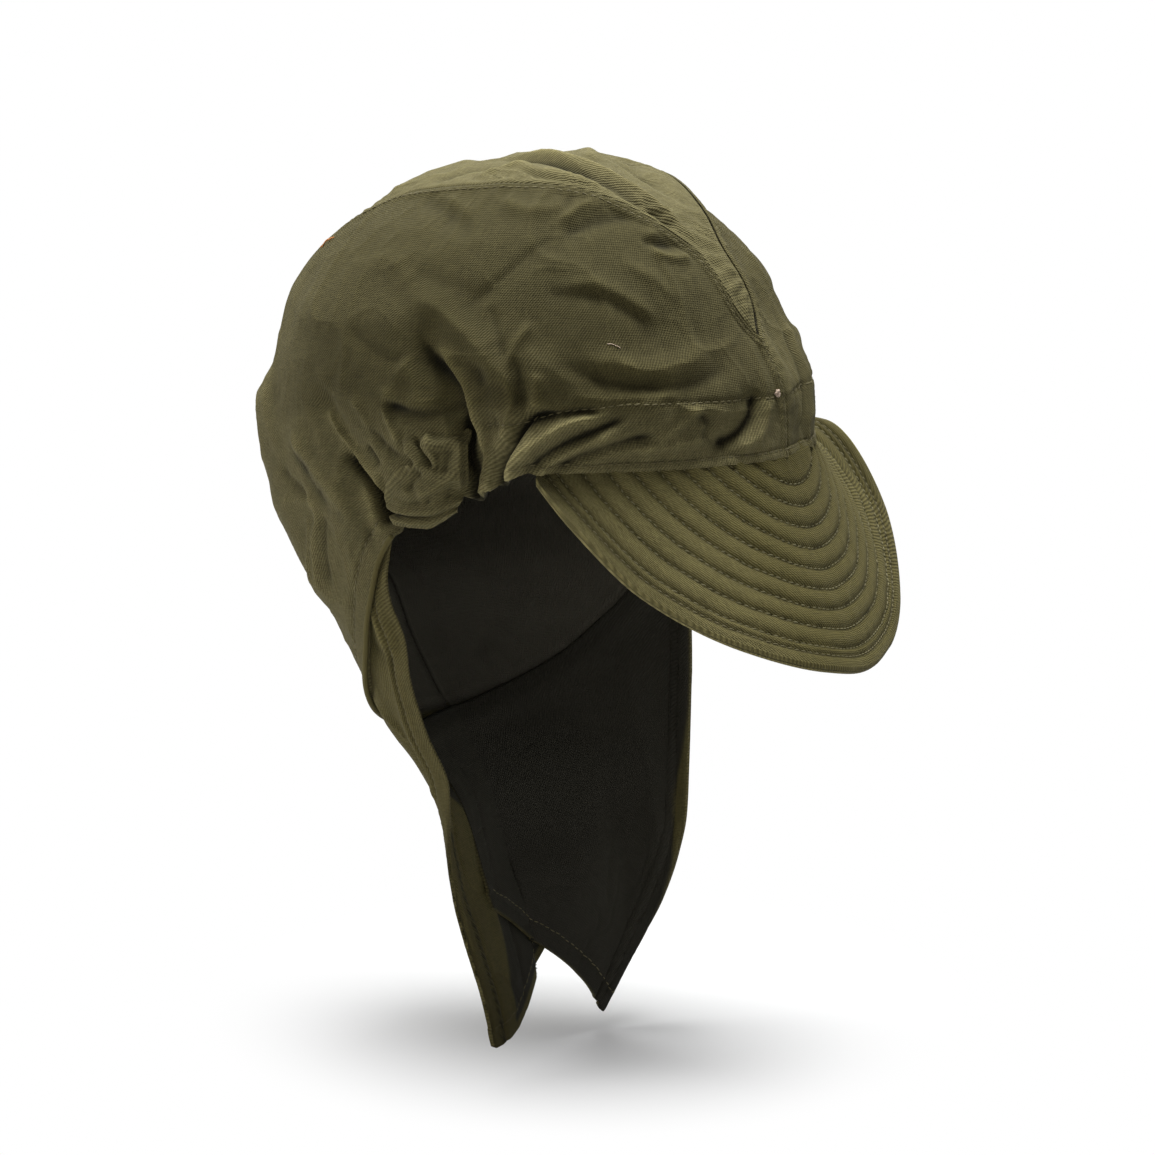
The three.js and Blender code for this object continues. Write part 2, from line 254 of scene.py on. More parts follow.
# Finer creases on the crown: places along the crease, depth, and width to its left and right
# as it is walked. A negative depth is a valley.
CREASES = {
    RIGHT: (
        (((90, 44), (83, 34.5), (79, 29), (77, 22.5), (76.6, 15), (76.6, 6)), -3.4, 4.5, 1.8),
        (((84, 42), (79.5, 35), (76, 28), (74.6, 20), (74.3, 12), (74.2, 0)), 2.2, 1.8, 3.4),
        (((76.4, 20), (76.4, 11), (76.2, 2), (75.7, -6), (75.2, -18)), -6.4, 2.3, 2.2),
        (((73.6, 12), (73.2, 3), (73.8, -6), (74.4, -14)), 1.5, 1.7, 3.2),
        (((94, 56.5), (84, 51.5), (77.5, 46), (72, 39.5), (68.5, 32.5), (67.2, 25)), 1.1, 2.4, 3.2),
        (((68.5, 37), (67, 30), (67.3, 20.5), (68, 12), (68.5, 4)), 1.7, 2.0, 2.0),
        (((60, 50), (63, 44.5), (65.5, 38.5), (67, 32)), 1.1, 2.0, 1.8),
        (((72, 56), (68.4, 46), (67.2, 36)), -0.8, 2.2, 1.7),
        (((74, 38), (71.6, 28), (71.2, 13)), -1.0, 3.0, 2.2),
        (((65, 39), (64.4, 30), (65, 16)), -1.2, 2.0, 2.2),
        (((60.5, 34), (61, 28), (62, 21)), 1.3, 1.8, 1.8),
        (((64.5, 17.2), (60, 19.4), (55, 20.4), (48, 21)), -2.0, 1.6, 1.5),
        (((56, 20.8), (62.4, 18), (65.8, 12.5), (68, 6.5), (69.5, 0.5), (69.9, -12)), -6.2, 1.9, 1.8),
        (((68, -9), (67.4, 0.5), (64.8, 7), (60.5, 12), (54.5, 16.6), (46, 19.2)), 2.9, 1.9, 1.9),
        (((65.4, -4), (63, 2), (58, 8.2), (52.5, 12.4), (46, 17.2), (42, 20.5)), -2.6, 1.7, 1.5),
        (((64.4, -4), (60.4, 3.6), (54.5, 8.6), (49, 12), (44, 16)), 2.0, 1.6, 1.8),
        (((61.5, -3), (56, 3.6), (49, 7.6), (42, 10.8), (35, 12)), -2.1, 1.6, 1.8),
        (((58, -1), (50.5, 5), (45.5, 7.4), (37.5, 8.2), (29, 9), (20, 13.5)), 1.4, 1.8, 2.4),
        (((38.5, 10.5), (34, 13.2), (30, 17.2), (27, 21.5)), 1.3, 1.5, 1.5),
        (((33.5, 23.5), (29.5, 20.2), (25, 19.2)), 1.0, 1.4, 1.5),
        (((27.5, 19), (24.5, 14.5), (27, 9)), -1.5, 1.7, 1.9),
        (((8.5, 25), (10.6, 19), (12.4, 14.5), (16.5, 10), (24, 6)), -2.7, 2.4, 1.7),
        (((6.5, 23), (8, 14.5), (11.5, 8.4), (19, 4.2)), 1.5, 1.8, 2.4),
        (((52, 38), (41, 34.8), (35, 33.8), (27.5, 34.8), (17, 39)), 1.5, 4.5, 4.0),
        (((58, 37), (46, 30), (37, 28), (29, 27.8), (12, 34)), -1.5, 3.0, 3.6),
        (((56, 26), (47, 24.4), (37, 24.6), (27, 25)), 0.8, 1.8, 2.0),
        (((55, 60), (48.5, 61.4), (43, 60), (36, 55), (28, 48)), 1.3, 2.4, 3.2),
        (((60, 58), (50, 58), (41.5, 55.8), (30, 46)), -0.9, 3.0, 2.2),
        (((80, 52), (69.5, 63.5), (64, 69.5), (54, 78)), -0.9, 4.0, 2.2),
        (((104, 66), (87, 61), (72, 57)), -0.7, 3.4, 3.0),
        (((57, 79.5), (50.5, 82.4), (45, 85), (33, 88)), 1.6, 2.0, 2.0),
        (((56, 75), (43, 80), (29, 81.6), (20, 78)), -1.3, 2.8, 2.4),
        (((26, 73.5), (18.5, 76.6), (11, 76.4)), 1.2, 1.6, 1.5),
        (((26, 70.2), (18.5, 67.4), (11, 67.8)), 1.5, 1.6, 1.6),
        (((28, 74), (18, 72), (9, 71)), -1.5, 1.8, 1.8),
        (((36, 69.5), (32.5, 65), (28, 61.5), (23, 53)), 0.9, 2.2, 3.0),
        (((118, 87), (98, 82), (80, 75)), -0.9, 3.4, 3.0),
        (((115, 88), (98.5, 85), (86, 81)), 0.9, 1.8, 1.8),
        (((80, 87), (69.5, 84), (61, 83.6), (50, 85.4)), 1.3, 2.2, 2.6),
        (((112, 67), (103, 65.4), (94, 60)), 0.9, 2.6, 3.4),
        ((
            (110, 0), (106.5, -2.4), (103.5, -5.6), (100.4, -9.4), (98.2, -13), (96.8, -17),
            (94.4, -21), (90, -24), (82, -25),
        ), -4.6, 1.5, 1.9),
        (((115, 17), (109.5, 8.5), (106, 3.4), (102, -1.6), (98.6, -7), (97.2, -13)), 2.0, 2.4, 1.5),
        (((98.2, -3), (97.3, -8), (96.9, -12), (95.2, -17.6)), 1.7, 1.2, 1.2),
        (((103, -10), (99.8, -15.5), (97.3, -21.5), (92, -27.4), (88, -30)), 2.2, 2.0, 2.4),
        (((127, 6), (120, -2), (113.5, -8.4), (106, -17), (100, -24)), 1.4, 1.5, 2.6),
        (((129, 0), (121, -8), (113, -16), (107, -24)), -1.3, 2.4, 1.8),
        (((134, -10), (126, -15.6), (117, -18.6)), -1.5, 2.0, 1.6),
        ((
            (124, -13), (117.5, -18.6), (114.4, -25), (116.4, -33), (118, -41.5), (121, -54),
        ), 1.7, 2.0, 3.2),
        (((111.6, -20), (112.4, -33), (114.4, -50)), -1.2, 2.6, 1.8),
        (((101, 4), (98.8, 0.6), (97.2, -3.4)), -2.3, 1.5, 1.4),
        (((100, 12), (96, 6), (93, 2.4), (90, 1)), -1.8, 2.2, 2.2),
        (((97, 18), (92, 19.2), (88.4, 17.6), (84, 18.2), (79, 20.4), (76.4, 17)), -2.5, 3.2, 2.4),
        (((96, 25.4), (92, 21.8), (87, 20.6), (82, 22.6)), 1.3, 1.6, 1.8),
        (((95.5, 21), (93.6, 15.5), (92, 10), (91, 6)), 1.5, 1.7, 1.5),
        (((99, -25), (96, -29), (92.6, -33.4)), -1.0, 1.7, 1.7),
        (((104, -28), (101, -40), (102, -54)), 0.8, 2.6, 2.6),
        (((150, 26), (140, 4), (131, -10)), 0.9, 3.4, 3.0),
        (((151, 22), (148, 4), (145, -16), (140, -38)), 2.5, 8.5, 8.5),
        (((166, 34), (162, 10), (159, -14), (154, -36)), -1.5, 7.0, 6.0),
        (((116, 17), (105, 0), (97, -15)), 1.8, 5.5, 6.5),
        (((104, 22), (99, 12), (97.6, 2)), 0.9, 1.6, 1.6),
        (((118, 30), (108, 18), (102, 8)), 0.4, 2.2, 2.6),
        (((92, 36), (88, 28), (86.4, 20)), 0.9, 1.8, 1.8),
        (((108, 44), (96, 36), (88, 33)), -0.8, 2.4, 2.4),
        (((120, -22), (119, -34), (123, -46), (124, -60)), 1.0, 1.4, 2.0),
        (((150, -30), (143, -46), (140, -62)), -1.2, 4.0, 3.0),
        (((132, -46), (128, -60), (134, -78)), 0.8, 3.0, 3.0),
    ),
    LEFT: (
        (((89, 46), (82, 35), (78, 24), (77.4, 8)), -3.2, 4.5, 2.0),
        (((83, 44), (77, 33), (74.6, 20), (74.4, 2)), 2.0, 2.0, 3.4),
        (((76.8, 17), (76.6, 4), (75.6, -14)), -5.0, 2.0, 2.0),
        (((92, 58), (80, 50), (72, 40), (68, 30), (67.4, 18)), 1.2, 2.6, 3.0),
        (((72, 32), (70.8, 24), (71, 14)), -1.2, 3.0, 2.4),
        (((58, 20.6), (62.6, 17.5), (66.4, 10), (69, 0), (69.4, -9)), -4.6, 1.9, 2.0),
        (((67.4, -8), (66.4, 1), (62, 9), (54, 15.6), (44, 19)), 2.6, 2.1, 2.1),
        (((64, -3), (57, 7), (49, 12.6), (41, 17.4)), -2.3, 1.9, 1.8),
        (((61, -3), (53, 5.6), (44, 9.4), (34, 13)), 1.7, 2.0, 2.2),
        (((57, -2), (48, 5), (38, 7.4), (27, 9.4)), -1.5, 2.0, 2.2),
        (((20, 48), (16.4, 33), (14.6, 22), (9, 4)), -1.3, 2.0, 1.8),
        (((24, 44), (19.6, 32), (18.6, 20), (15, 4)), 0.9, 2.0, 2.6),
        (((12.6, 40), (10.8, 28), (10.4, 18), (5, 5)), 0.9, 1.8, 2.0),
        (((50, 36), (38, 33), (24, 36)), 1.3, 4.0, 4.0),
        (((52, 31), (38, 27.6), (26, 29)), -1.6, 3.2, 3.4),
        (((32, 20), (30, 13), (34, 6)), -1.4, 2.0, 2.0),
        (((54, 62), (44, 60), (32, 50)), 1.2, 2.8, 3.4),
        (((52, 80), (42, 80.6), (28, 81)), -1.7, 3.0, 2.8),
        (((82, 88), (70, 84), (58, 84.6)), 1.3, 2.4, 2.8),
        (((112, 85), (97, 81), (84, 76)), -1.4, 3.2, 3.0),
        (((78, 56), (68, 64), (60, 73)), -1.2, 4.0, 3.0),
        (((109, 0), (103, -6), (98.4, -13), (96, -18), (91, -23), (83, -25)), -4.2, 1.8, 2.0),
        (((114, 15), (107, 4), (101, -3), (97.6, -12)), 2.0, 2.4, 1.6),
        (((103, -11), (98.6, -20), (91, -27.6)), 2.0, 2.2, 2.4),
        (((126, 4), (117, -6), (106, -18)), 1.4, 1.8, 2.6),
        (((128, -13), (117, -20), (114.6, -32), (120, -52)), 1.6, 2.4, 3.2),
        (((97, 19), (89, 17.6), (80, 19.4), (76.6, 16)), -3.2, 2.2, 2.0),
        (((96, 25), (88, 21.2), (81, 23)), 1.3, 1.8, 1.8),
        (((150, -28), (144, -44), (141, -60)), -0.7, 4.4, 4.4),
        (((170, 30), (166, 12), (160, -6), (157, -26)), 2.0, 6.0, 8.0),
        (((156, 24), (150, 4), (146, -18)), -1.0, 6.0, 7.0),
    ),
}

# The crown's band is sewn through along this line, in turn and height.
BAND_STITCHES = (
    (4, 21), (12, 21.5), (22, 22), (30, 22.3), (43, 23), (50, 21.5), (56, 20.5), (64, 16.5), (72, 15),
)

# The gathered ear edge, folded over outside the crown.
CUFF_FRONT_TURN = 76.8
CUFF_BOTTOM = -22
CUFF_HEIGHT = 33.5
CUFF_WIDTH = 27.0
CUFF_STAND = 2.2
CUFF_OUTLINE = table("up front rear", [
    (0, 1.6, 22),
    (2, 1, 23.6),
    (5, 0.6, 25.8),
    (8, 0.4, 26.4),
    (11.8, 0.3, 25.4),
    (16.3, 0.2, 22.8),
    (19.9, 0.1, 18.4),
    (22.6, 0, 16.8),
    (27.2, -0.2, 19),
    (33.5, -0.5, 23),
])
CUFF_FOOT_RISE = 5.5
# Creases of the cuff: millimetres from its rear and up from its foot, depth and widths.
CUFF_CREASES = (
    (((11.4, 31.7), (13, 28.5), (14.6, 25.8), (16.6, 23), (18, 20.5)), -2.6, 0.9, 0.8),
    (((8, 29), (10.6, 26.6), (13, 23.9), (14.4, 20.5)), 1.5, 1.1, 1.3),
    (((14, 32.1), (16.4, 29), (18.4, 25.7), (19, 21.7)), 1.3, 1.0, 1.4),
    (((22.4, 29), (21.8, 24.4), (21.4, 19)), -1.6, 1.6, 1.4),
    (((25.4, 30.8), (25, 24.4), (24.4, 17.2), (25, 9.96)), 1.9, 1.0, 1.4),
    (((24.6, 20.8), (21.4, 16.8), (17.5, 13.4), (13, 11.4)), 1.9, 1.7, 1.7),
    (((14.6, 20.5), (12, 16.7), (10.6, 12.1)), -2.0, 1.6, 1.8),
    (((15, 22.3), (10, 19.9), (5.4, 15.4), (2.6, 9.96), (2.8, 4)), 2.1, 0.9, 1.5),
    (((18.6, 12.7), (17.4, 10.3), (18.6, 9)), -1.1, 1.2, 1.2),
    (((5, 9.6), (11, 8.8), (17, 9.2)), -0.8, 1.0, 1.0),
    (((26, 31), (20, 29), (14, 30)), 0.9, 1.0, 1.2),
    (((19, 28), (19.6, 24), (18.6, 20)), -1.3, 0.8, 0.9),
    (((6, 30.8), (14, 32.4), (24, 31.7)), 1.2, 1.5, 1.4),
    (((23.4, 13.6), (22.6, 10.9), (24, 9)), -1.2, 1.1, 1.1),
    (((7, 22.6), (9.6, 21.5), (12.6, 22.3)), -1.4, 0.9, 0.8),
)

# The studio: the camera looks at the aim from its azimuth and elevation.
AIM = Vector((-2.7, -17.0, -51.2)) * MM
AZIMUTH = math.radians(-57)
ELEVATION = math.radians(11)
CAMERA_DISTANCE = 1.5
FRAME_WIDTH = 0.4125
SENSOR = 36
AIR_LIGHT = 0.13
FLOOR_HEIGHT = -0.2305
FLOOR_SIZE = 12
FLOOR_SHADOW_GREY = (0.50, 0.50, 0.515, 1)
# Where the painted shadow lies on the floor, grey paper that also takes the real shadow: right of the
# aim and nearer than it, and how far it reaches.
SHADOW_PLACE = (0.003, -0.075)
SHADOW_SIZE = (0.15, 0.168)
# Each softbox: how far right of the aim, above it and nearer than it, then size, watts and tint.
SOFTBOXES = (
    ("overhead_softbox", (0.1, 1.3, -0.16), (0.7, 0.6), 43, (0.99, 1.0, 0.97)),
    ("rim_softbox", (0.0, 0.85, -1.15), (0.9, 0.5), 9, (0.99, 1.0, 0.97)),
    ("left_softbox", (-1.25, 0.15, 0.0), (0.5, 1.3), 10.6, (1.0, 0.98, 0.95)),
    ("right_softbox", (1.3, 0.4, -0.45), (0.6, 1.0), 1.0, (0.99, 1.0, 0.96)),
    ("front_softbox", (-0.5, 0.0, 1.4), (1.0, 1.0), 6.6, (1.0, 0.98, 0.93)),
)


def between(low, high, share):
    return low + (high - low) * share


def ease(low, high, at):
    """0 at low, 1 at high, and smooth from one to the other."""
    t = np.clip((at - low) / (high - low), 0, 1)
    return t * t * (3 - 2 * t)


def mound(at, middle, width):
    """1 at the middle, falling off softly to nothing beyond about twice the width."""
    return np.exp(-(((at - middle) / width) ** 2))


def from_front(side, u):
    """A panel's u counted from its front edge. On the right side u runs the other way."""
    return 1 - u if side == RIGHT else u


def smooth(rows, column, at):
    """A column's value at each place along the table's first column, never overshooting it."""
    x = rows[rows["key"]]
    y = rows[column]
    gap = np.diff(x)
    slope = np.diff(y) / gap
    before, after = slope[:-1], slope[1:]
    weight_before = 2 * gap[1:] + gap[:-1]
    weight_after = gap[1:] + 2 * gap[:-1]
    level = before * after <= 0
    inner = np.zeros(len(x) - 2)
    steep = ~level
    inner[steep] = (weight_before + weight_after)[steep] / (
        weight_before[steep] / before[steep] + weight_after[steep] / after[steep]
    )
    tangent = np.concatenate([[slope[0]], inner, [slope[-1]]])
    at = np.clip(at, x[0], x[-1])
    index = np.clip(np.searchsorted(x, at, side="right") - 1, 0, len(x) - 2)
    t = (at - x[index]) / gap[index]
    return (
        (2 * t**3 - 3 * t**2 + 1) * y[index]
        + (t**3 - 2 * t**2 + t) * gap[index] * tangent[index]
        + (3 * t**2 - 2 * t**3) * y[index + 1]
        + (t**3 - t**2) * gap[index] * tangent[index + 1]
    )


def waver(x, y, size, seed):
    """Smooth seeded unevenness from -1 to 1, in lumps of that size."""
    lattice = np.random.default_rng(seed).uniform(-1, 1, (64, 64))
    x, y = x / size, y / size
    i, j = np.floor(x).astype(int), np.floor(y).astype(int)
    a, b = x - i, y - j
    a, b = a * a * (3 - 2 * a), b * b * (3 - 2 * b)

    def knot(column, row):
        return lattice[column % 64, row % 64]

    low = between(knot(i, j), knot(i + 1, j), a)
    high = between(knot(i, j + 1), knot(i + 1, j + 1), a)
    return between(low, high, b)


def pleats(x, y, size, seed):
    """Seeded unevenness like slack cloth: broad hollows between narrow soft ridges."""
    bent = 0.6 * size * waver(x, y, size * 1.7, seed + 50)
    ridges = 1 - np.abs(waver(x + bent, y + bent, size, seed)) * 2.2
    return np.clip(ridges, -1, 1) ** 3 * 0.6 + 0.4 * waver(x, y, size, seed + 7)


def outward(side, turn):
    """The level direction straight out of the skin at each turn."""
    angle = np.radians(turn)
    return np.stack([side * np.sin(angle), -np.cos(angle), np.zeros_like(angle)], -1)


def half_skin(side, turn, height):
    """Points of the bare skin on one side of the head, for turns up to 180."""
    angle = np.radians(turn)
    on_crown = height >= JAW_HEIGHT

    def value(column):
        crown = smooth(CROWN_SECTIONS, column, height)
        return np.where(on_crown, crown, smooth(FLAP_SECTIONS[side], column, height))

    ear = value("ear")
    flat = np.where(on_crown, 0, smooth(FLAP_SECTIONS[side], "flat", height))
    to_brow = between(ear, smooth(CROWN_SECTIONS, "brow", height), np.cos(angle))
    to_nape = between(ear, value("nape"), between(-np.cos(angle), 1 - np.sin(angle), flat))
    return np.stack(
        [side * value("half") * np.sin(angle), np.where(turn < 90, to_brow, to_nape), height], -1
    )


def skin(side, turn, height):
    """Points of the bare skin. Past the nape it goes on over the other side."""
    turn, height = np.broadcast_arrays(np.asarray(turn, float), np.asarray(height, float))
    here = half_skin(side, np.minimum(turn, 180), height)
    there = half_skin(-side, np.minimum(360 - turn, 180), height)
    return np.where((turn > 180)[..., None], there, here)


def rounded(line, steps=5):
    """A line through the same places with its corners rounded."""
    line = np.array(line, float)
    ends = np.vstack([2 * line[0] - line[1], line, 2 * line[-1] - line[-2]])
    places = []
    for k in range(1, len(ends) - 2):
        for t in np.arange(steps) / steps:
            places.append(0.5 * (
                2 * ends[k]
                + (ends[k + 1] - ends[k - 1]) * t
                + (2 * ends[k - 1] - 5 * ends[k] + 4 * ends[k + 1] - ends[k + 2]) * t**2
                + (3 * ends[k] - ends[k - 1] - 3 * ends[k + 1] + ends[k + 2]) * t**3
            ))
    return np.array(places + [line[-1]])


def beside(x, y, line):
    """(distance, side, share along) of each flat place from a line."""
    reach = np.full(x.shape, np.inf)
    side = np.zeros(x.shape)
    share = np.zeros(x.shape)
    steps = np.diff(line, axis=0)
    lengths = np.hypot(steps[:, 0], steps[:, 1])
    starts = np.concatenate([[0], np.cumsum(lengths)])
    for (ax, ay), (dx, dy), length, start in zip(line, steps, lengths, starts):
        t = np.clip(((x - ax) * dx + (y - ay) * dy) / length**2, 0, 1)
        away = np.hypot(ax + t * dx - x, ay + t * dy - y)
        closer = away < reach
        reach = np.where(closer, away, reach)
        side = np.where(closer, np.sign(dx * (y - ay) - dy * (x - ax)), side)
        share = np.where(closer, (start + t * length) / starts[-1], share)
    return reach, side, share


def crease(x, y, line, depth, left, right):
    """The lift of one crease, fading out towards its ends."""
    away, side, share = beside(x, y, rounded(line))
    width = np.where(side > 0, left, right)
    fade = ease(0, 0.22, share) * (1 - ease(0.78, 1, share))
    return depth * np.exp(-((away / width) ** 1.7)) * fade


def main_lift(side, turn, height):
    """How far the main folds lift or sink the skin."""
    lift = np.zeros(np.shape(turn))
    for fold_side, start, end, depth, width in MAIN_FOLDS:
        if fold_side == side:
            line = np.array([start, end], float) * (ARC_PER_DEGREE, 1)
            away, _, _ = beside(turn * ARC_PER_DEGREE, height, line)
            lift = lift + depth * mound(away, 0, width)
    return lift


def crown_skin(side, turn, height):
    lift = main_lift(side, turn, height)
    return skin(side, turn, height) + outward(side, turn) * lift[..., None]


def creases(side, turn, height):
    """The lift of all the finer creases of one side."""
    lift = np.zeros(np.shape(turn))
    for line, depth, left, right in CREASES[side]:
        flat = np.array(line, float) * (ARC_PER_DEGREE, 1)
        lift = lift + crease(turn * ARC_PER_DEGREE, height, flat, depth, left, right)
    return lift


def lengths_along(line):
    """How far along the line each of its places lies."""
    return np.concatenate([[0], np.cumsum(np.linalg.norm(np.diff(line, axis=0), axis=1))])


def measure_from(line, points):
    """(distance, how far along) of each point from a line, both in millimetres."""
    along = lengths_along(line)
    fine = np.arange(0, along[-1], MEASURE_STEP)
    dense = np.stack([np.interp(fine, along, line[:, k]) for k in range(3)], -1)
    tree = KDTree(len(dense))
    for index, place in enumerate(dense):
        tree.insert(place, index)
    tree.balance()
    found = [tree.find(point) for point in points]
    return np.array([hit[2] for hit in found]), np.array([hit[1] * MEASURE_STEP for hit in found])


def pucker(away, along, depth, reach, period, seed):
    """Small gathers square to a seam, deepest at it."""
    phase = along / period + 1.3 * waver(along, away * 0.6, 9, seed)
    strength = 0.55 + 0.45 * waver(along, away * 0, 23, seed + 1)
    return depth * strength * np.sin(2 * np.pi * phase) * np.exp(-away / reach)


def side_place(side):
    """The middle of a side panel's cloth, for u and v from 0 to 1."""
    def outline(column, share):
        return smooth(SIDE_OUTLINE, column, share * SIDE_STEPS)

    def flat(u, v):
        share = from_front(side, u)
        low = outline("lowHeight", share) + SEAM_GAP * ease(0.45, 0.55, share)
        high = outline("seamHeight", share) - SEAM_GAP
        turn = between(outline("lowTurn", share), outline("seamTurn", share), v)
        return turn, between(low, high, v)

    def place(u, v):
        turn, height = flat(u, v)
        point = crown_skin(side, turn, height)
        point[..., 0] += side * SEAM_GAP / 2
        return point

    return flat, place


def top_place(u, v):
    """The middle of the top panel's cloth."""
    share = between(TOP_TIP_SHARE, 1 - TOP_TIP_SHARE, u) * SIDE_STEPS
    turn = smooth(SIDE_OUTLINE, "seamTurn", share)
    height = smooth(SIDE_OUTLINE, "seamHeight", share)
    edge = crown_skin(LEFT, turn, height)
    across = between(1, -1, v)
    rise = smooth(TOP_RISE, "rise", turn)
    rise = rise * np.clip(1 - across * across, 0, 1) ** TOP_FULLNESS
    lean = np.radians(90 - turn) * TOP_LEAN
    return np.stack([
        across * (edge[..., 0] - SEAM_GAP),
        edge[..., 1] - rise * np.sin(lean),
        edge[..., 2] + rise * np.cos(lean),
    ], -1)


def flap_place(side):
    """The middle of a flap half's cloth."""
    def outline(column, share):
        return smooth(FLAP_OUTLINE[side], column, share * FLAP_STEPS)

    def flat(u, v):
        share = from_front(side, u)
        run = np.clip(v / TUCK_STARTS, 0, 1)
        tuck = np.clip((v - TUCK_STARTS) / (1 - TUCK_STARTS), 0, 1) * SEAM_ALLOWANCE
        seam_turn, seam_height = outline("seamTurn", share), outline("seamHeight", share)
        step = 0.01
        along = (outline("seamTurn", share + step) - outline("seamTurn", share - step)) * ARC_PER_DEGREE
        down = outline("seamHeight", share + step) - outline("seamHeight", share - step)
        size = np.maximum(np.hypot(along, down), 1e-9)
        turn = between(outline("hemTurn", share), seam_turn, run) - down / size * tuck / ARC_PER_DEGREE
        height = between(outline("hemHeight", share), seam_height - SEAM_GAP, run)
        return turn, height + np.abs(along) / size * tuck

    def curl(turn, height):
        rows = FLAP_SECTIONS[side]
        depth = smooth(rows, "nape", height) - smooth(rows, "ear", height)
        away = np.radians(np.maximum(turn - 90, 0)) * depth
        reach = smooth(FLAP_CURL, "reach", height) * np.exp(-away / 12)
        bulge = -0.3 * smooth(FLAP_CURL, "reach", height) * mound(away, 12, 5)
        return reach[..., None] * CURL_WAY + bulge[..., None] * outward(side, turn)

    def place(u, v):
        turn, height = flat(u, v)
        lap = np.clip((turn - LAP_STARTS) / (LAP_ENDS - LAP_STARTS), 0, 1)
        point = skin(side, turn, height)
        point[..., 1] -= side * lap * LAP_SPACING
        if side == RIGHT:
            point = point + curl(turn, height) * (1 - ease(0.78, 0.93, v))[..., None]
        tucked = ease(TUCK_STARTS - 0.12, TUCK_STARTS + 0.015, v) * TUCK_DEPTH
        return point - outward(side, turn) * tucked[..., None]

    return flat, place


def face_direction(place, u, v, step=0.002):
    """The outward direction square to the cloth at each place."""
    along_u = place(np.minimum(u + step, 1), v) - place(np.maximum(u - step, 0), v)
    along_v = place(u, np.minimum(v + step, 1)) - place(u, np.maximum(v - step, 0))
    cross = np.cross(along_u, along_v)
    return cross / np.maximum(np.linalg.norm(cross, axis=-1, keepdims=True), 1e-9)


def select_only(piece):
    bpy.ops.object.select_all(action="DESELECT")
    piece.select_set(True)
    bpy.context.view_layer.objects.active = piece


def read_points(mesh):
    points = np.empty(len(mesh.vertices) * 3)
    mesh.vertices.foreach_get("co", points)
    return points.reshape(-1, 3)


def write_points(mesh, points):
    mesh.vertices.foreach_set("co", np.ascontiguousarray(points).ravel())
    mesh.update()


def write_mask(mesh, name, values):
    """Stores a number for each point of the mesh, for its material."""
    mask = mesh.attributes.get(name) or mesh.attributes.new(name, "FLOAT", "POINT")
    mask.data.foreach_set("value", np.ascontiguousarray(values, np.float32))


def flat_grid(name, size):
    """A flat grid of faces to be shaped into a panel, with u and v of each point."""
    bpy.ops.object.select_all(action="DESELECT")
    bpy.ops.mesh.primitive_grid_add(x_subdivisions=size[0], y_subdivisions=size[1], size=1)
    piece = bpy.context.object
    piece.name = name
    piece.data.name = name
    flat = read_points(piece.data)
    return piece, np.clip(flat[:, 0] + 0.5, 0, 1), np.clip(flat[:, 1] + 0.5, 0, 1)


def blurred(sheet, width, axis):
    """A grid of values, each averaged with its neighbours along one axis."""
    taps = np.arange(-3 * width, 3 * width + 1)
    shares = np.exp(-0.5 * (taps / width) ** 2)
    shares /= shares.sum()
    border = [(3 * width, 3 * width) if k == axis else (0, 0) for k in (0, 1)]
    padded = np.pad(sheet, border, mode="edge")
    count = sheet.shape[axis]
    return sum(share * np.take(padded, range(k, k + count), axis) for k, share in enumerate(shares))


def above_around(lift, u, v, size, reach):
    """How far each point of a grid stands above the cloth around it."""
    columns, rows = size
    i, j = np.rint(u * columns).astype(int), np.rint(v * rows).astype(int)
    sheet = np.zeros((columns + 1, rows + 1))
    sheet[i, j] = lift
    for axis, width in enumerate(reach):
        sheet = blurred(sheet, width, axis)
    return lift - sheet[i, j]


def even_across(place, across, v, size):
    """u for each point of a grid, so that every row's points lie at even distances on the cloth."""
    fine = np.linspace(0, 1, 400)
    row = np.rint(v * size[1]).astype(int)
    u = np.empty(len(across))
    for k in range(size[1] + 1):
        line = place(fine, np.full(400, k / size[1]))
        along = lengths_along(line)
        u[row == k] = np.interp(across[row == k] * along[-1], along, fine)
    return u


def sheet_direction(middle, across, v, size):
    """The outward direction square to the cloth at each point of an even grid."""
    i, j = np.rint(across * size[0]).astype(int), np.rint(v * size[1]).astype(int)
    sheet = np.zeros((size[0] + 1, size[1] + 1, 3))
    sheet[i, j] = middle
    cross = np.cross(np.gradient(sheet, axis=0), np.gradient(sheet, axis=1))
    # The outermost columns lean like the cloth beside them, whatever their own small hook does.
    hooked = 7
    cross[:hooked], cross[-hooked:] = cross[hooked], cross[-hooked - 1]
    cross = cross[i, j]
    return cross / np.maximum(np.linalg.norm(cross, axis=-1, keepdims=True), 1e-9)


def lay_grain(mesh, grain):
    """Lays the weave along the cloth: grain is each point's place on the flat cut, in metres."""
    corners = np.empty(len(mesh.loops), int)
    mesh.loops.foreach_get("vertex_index", corners)
    mesh.uv_layers[0].data.foreach_set("uv", np.ascontiguousarray(grain[corners]).ravel())


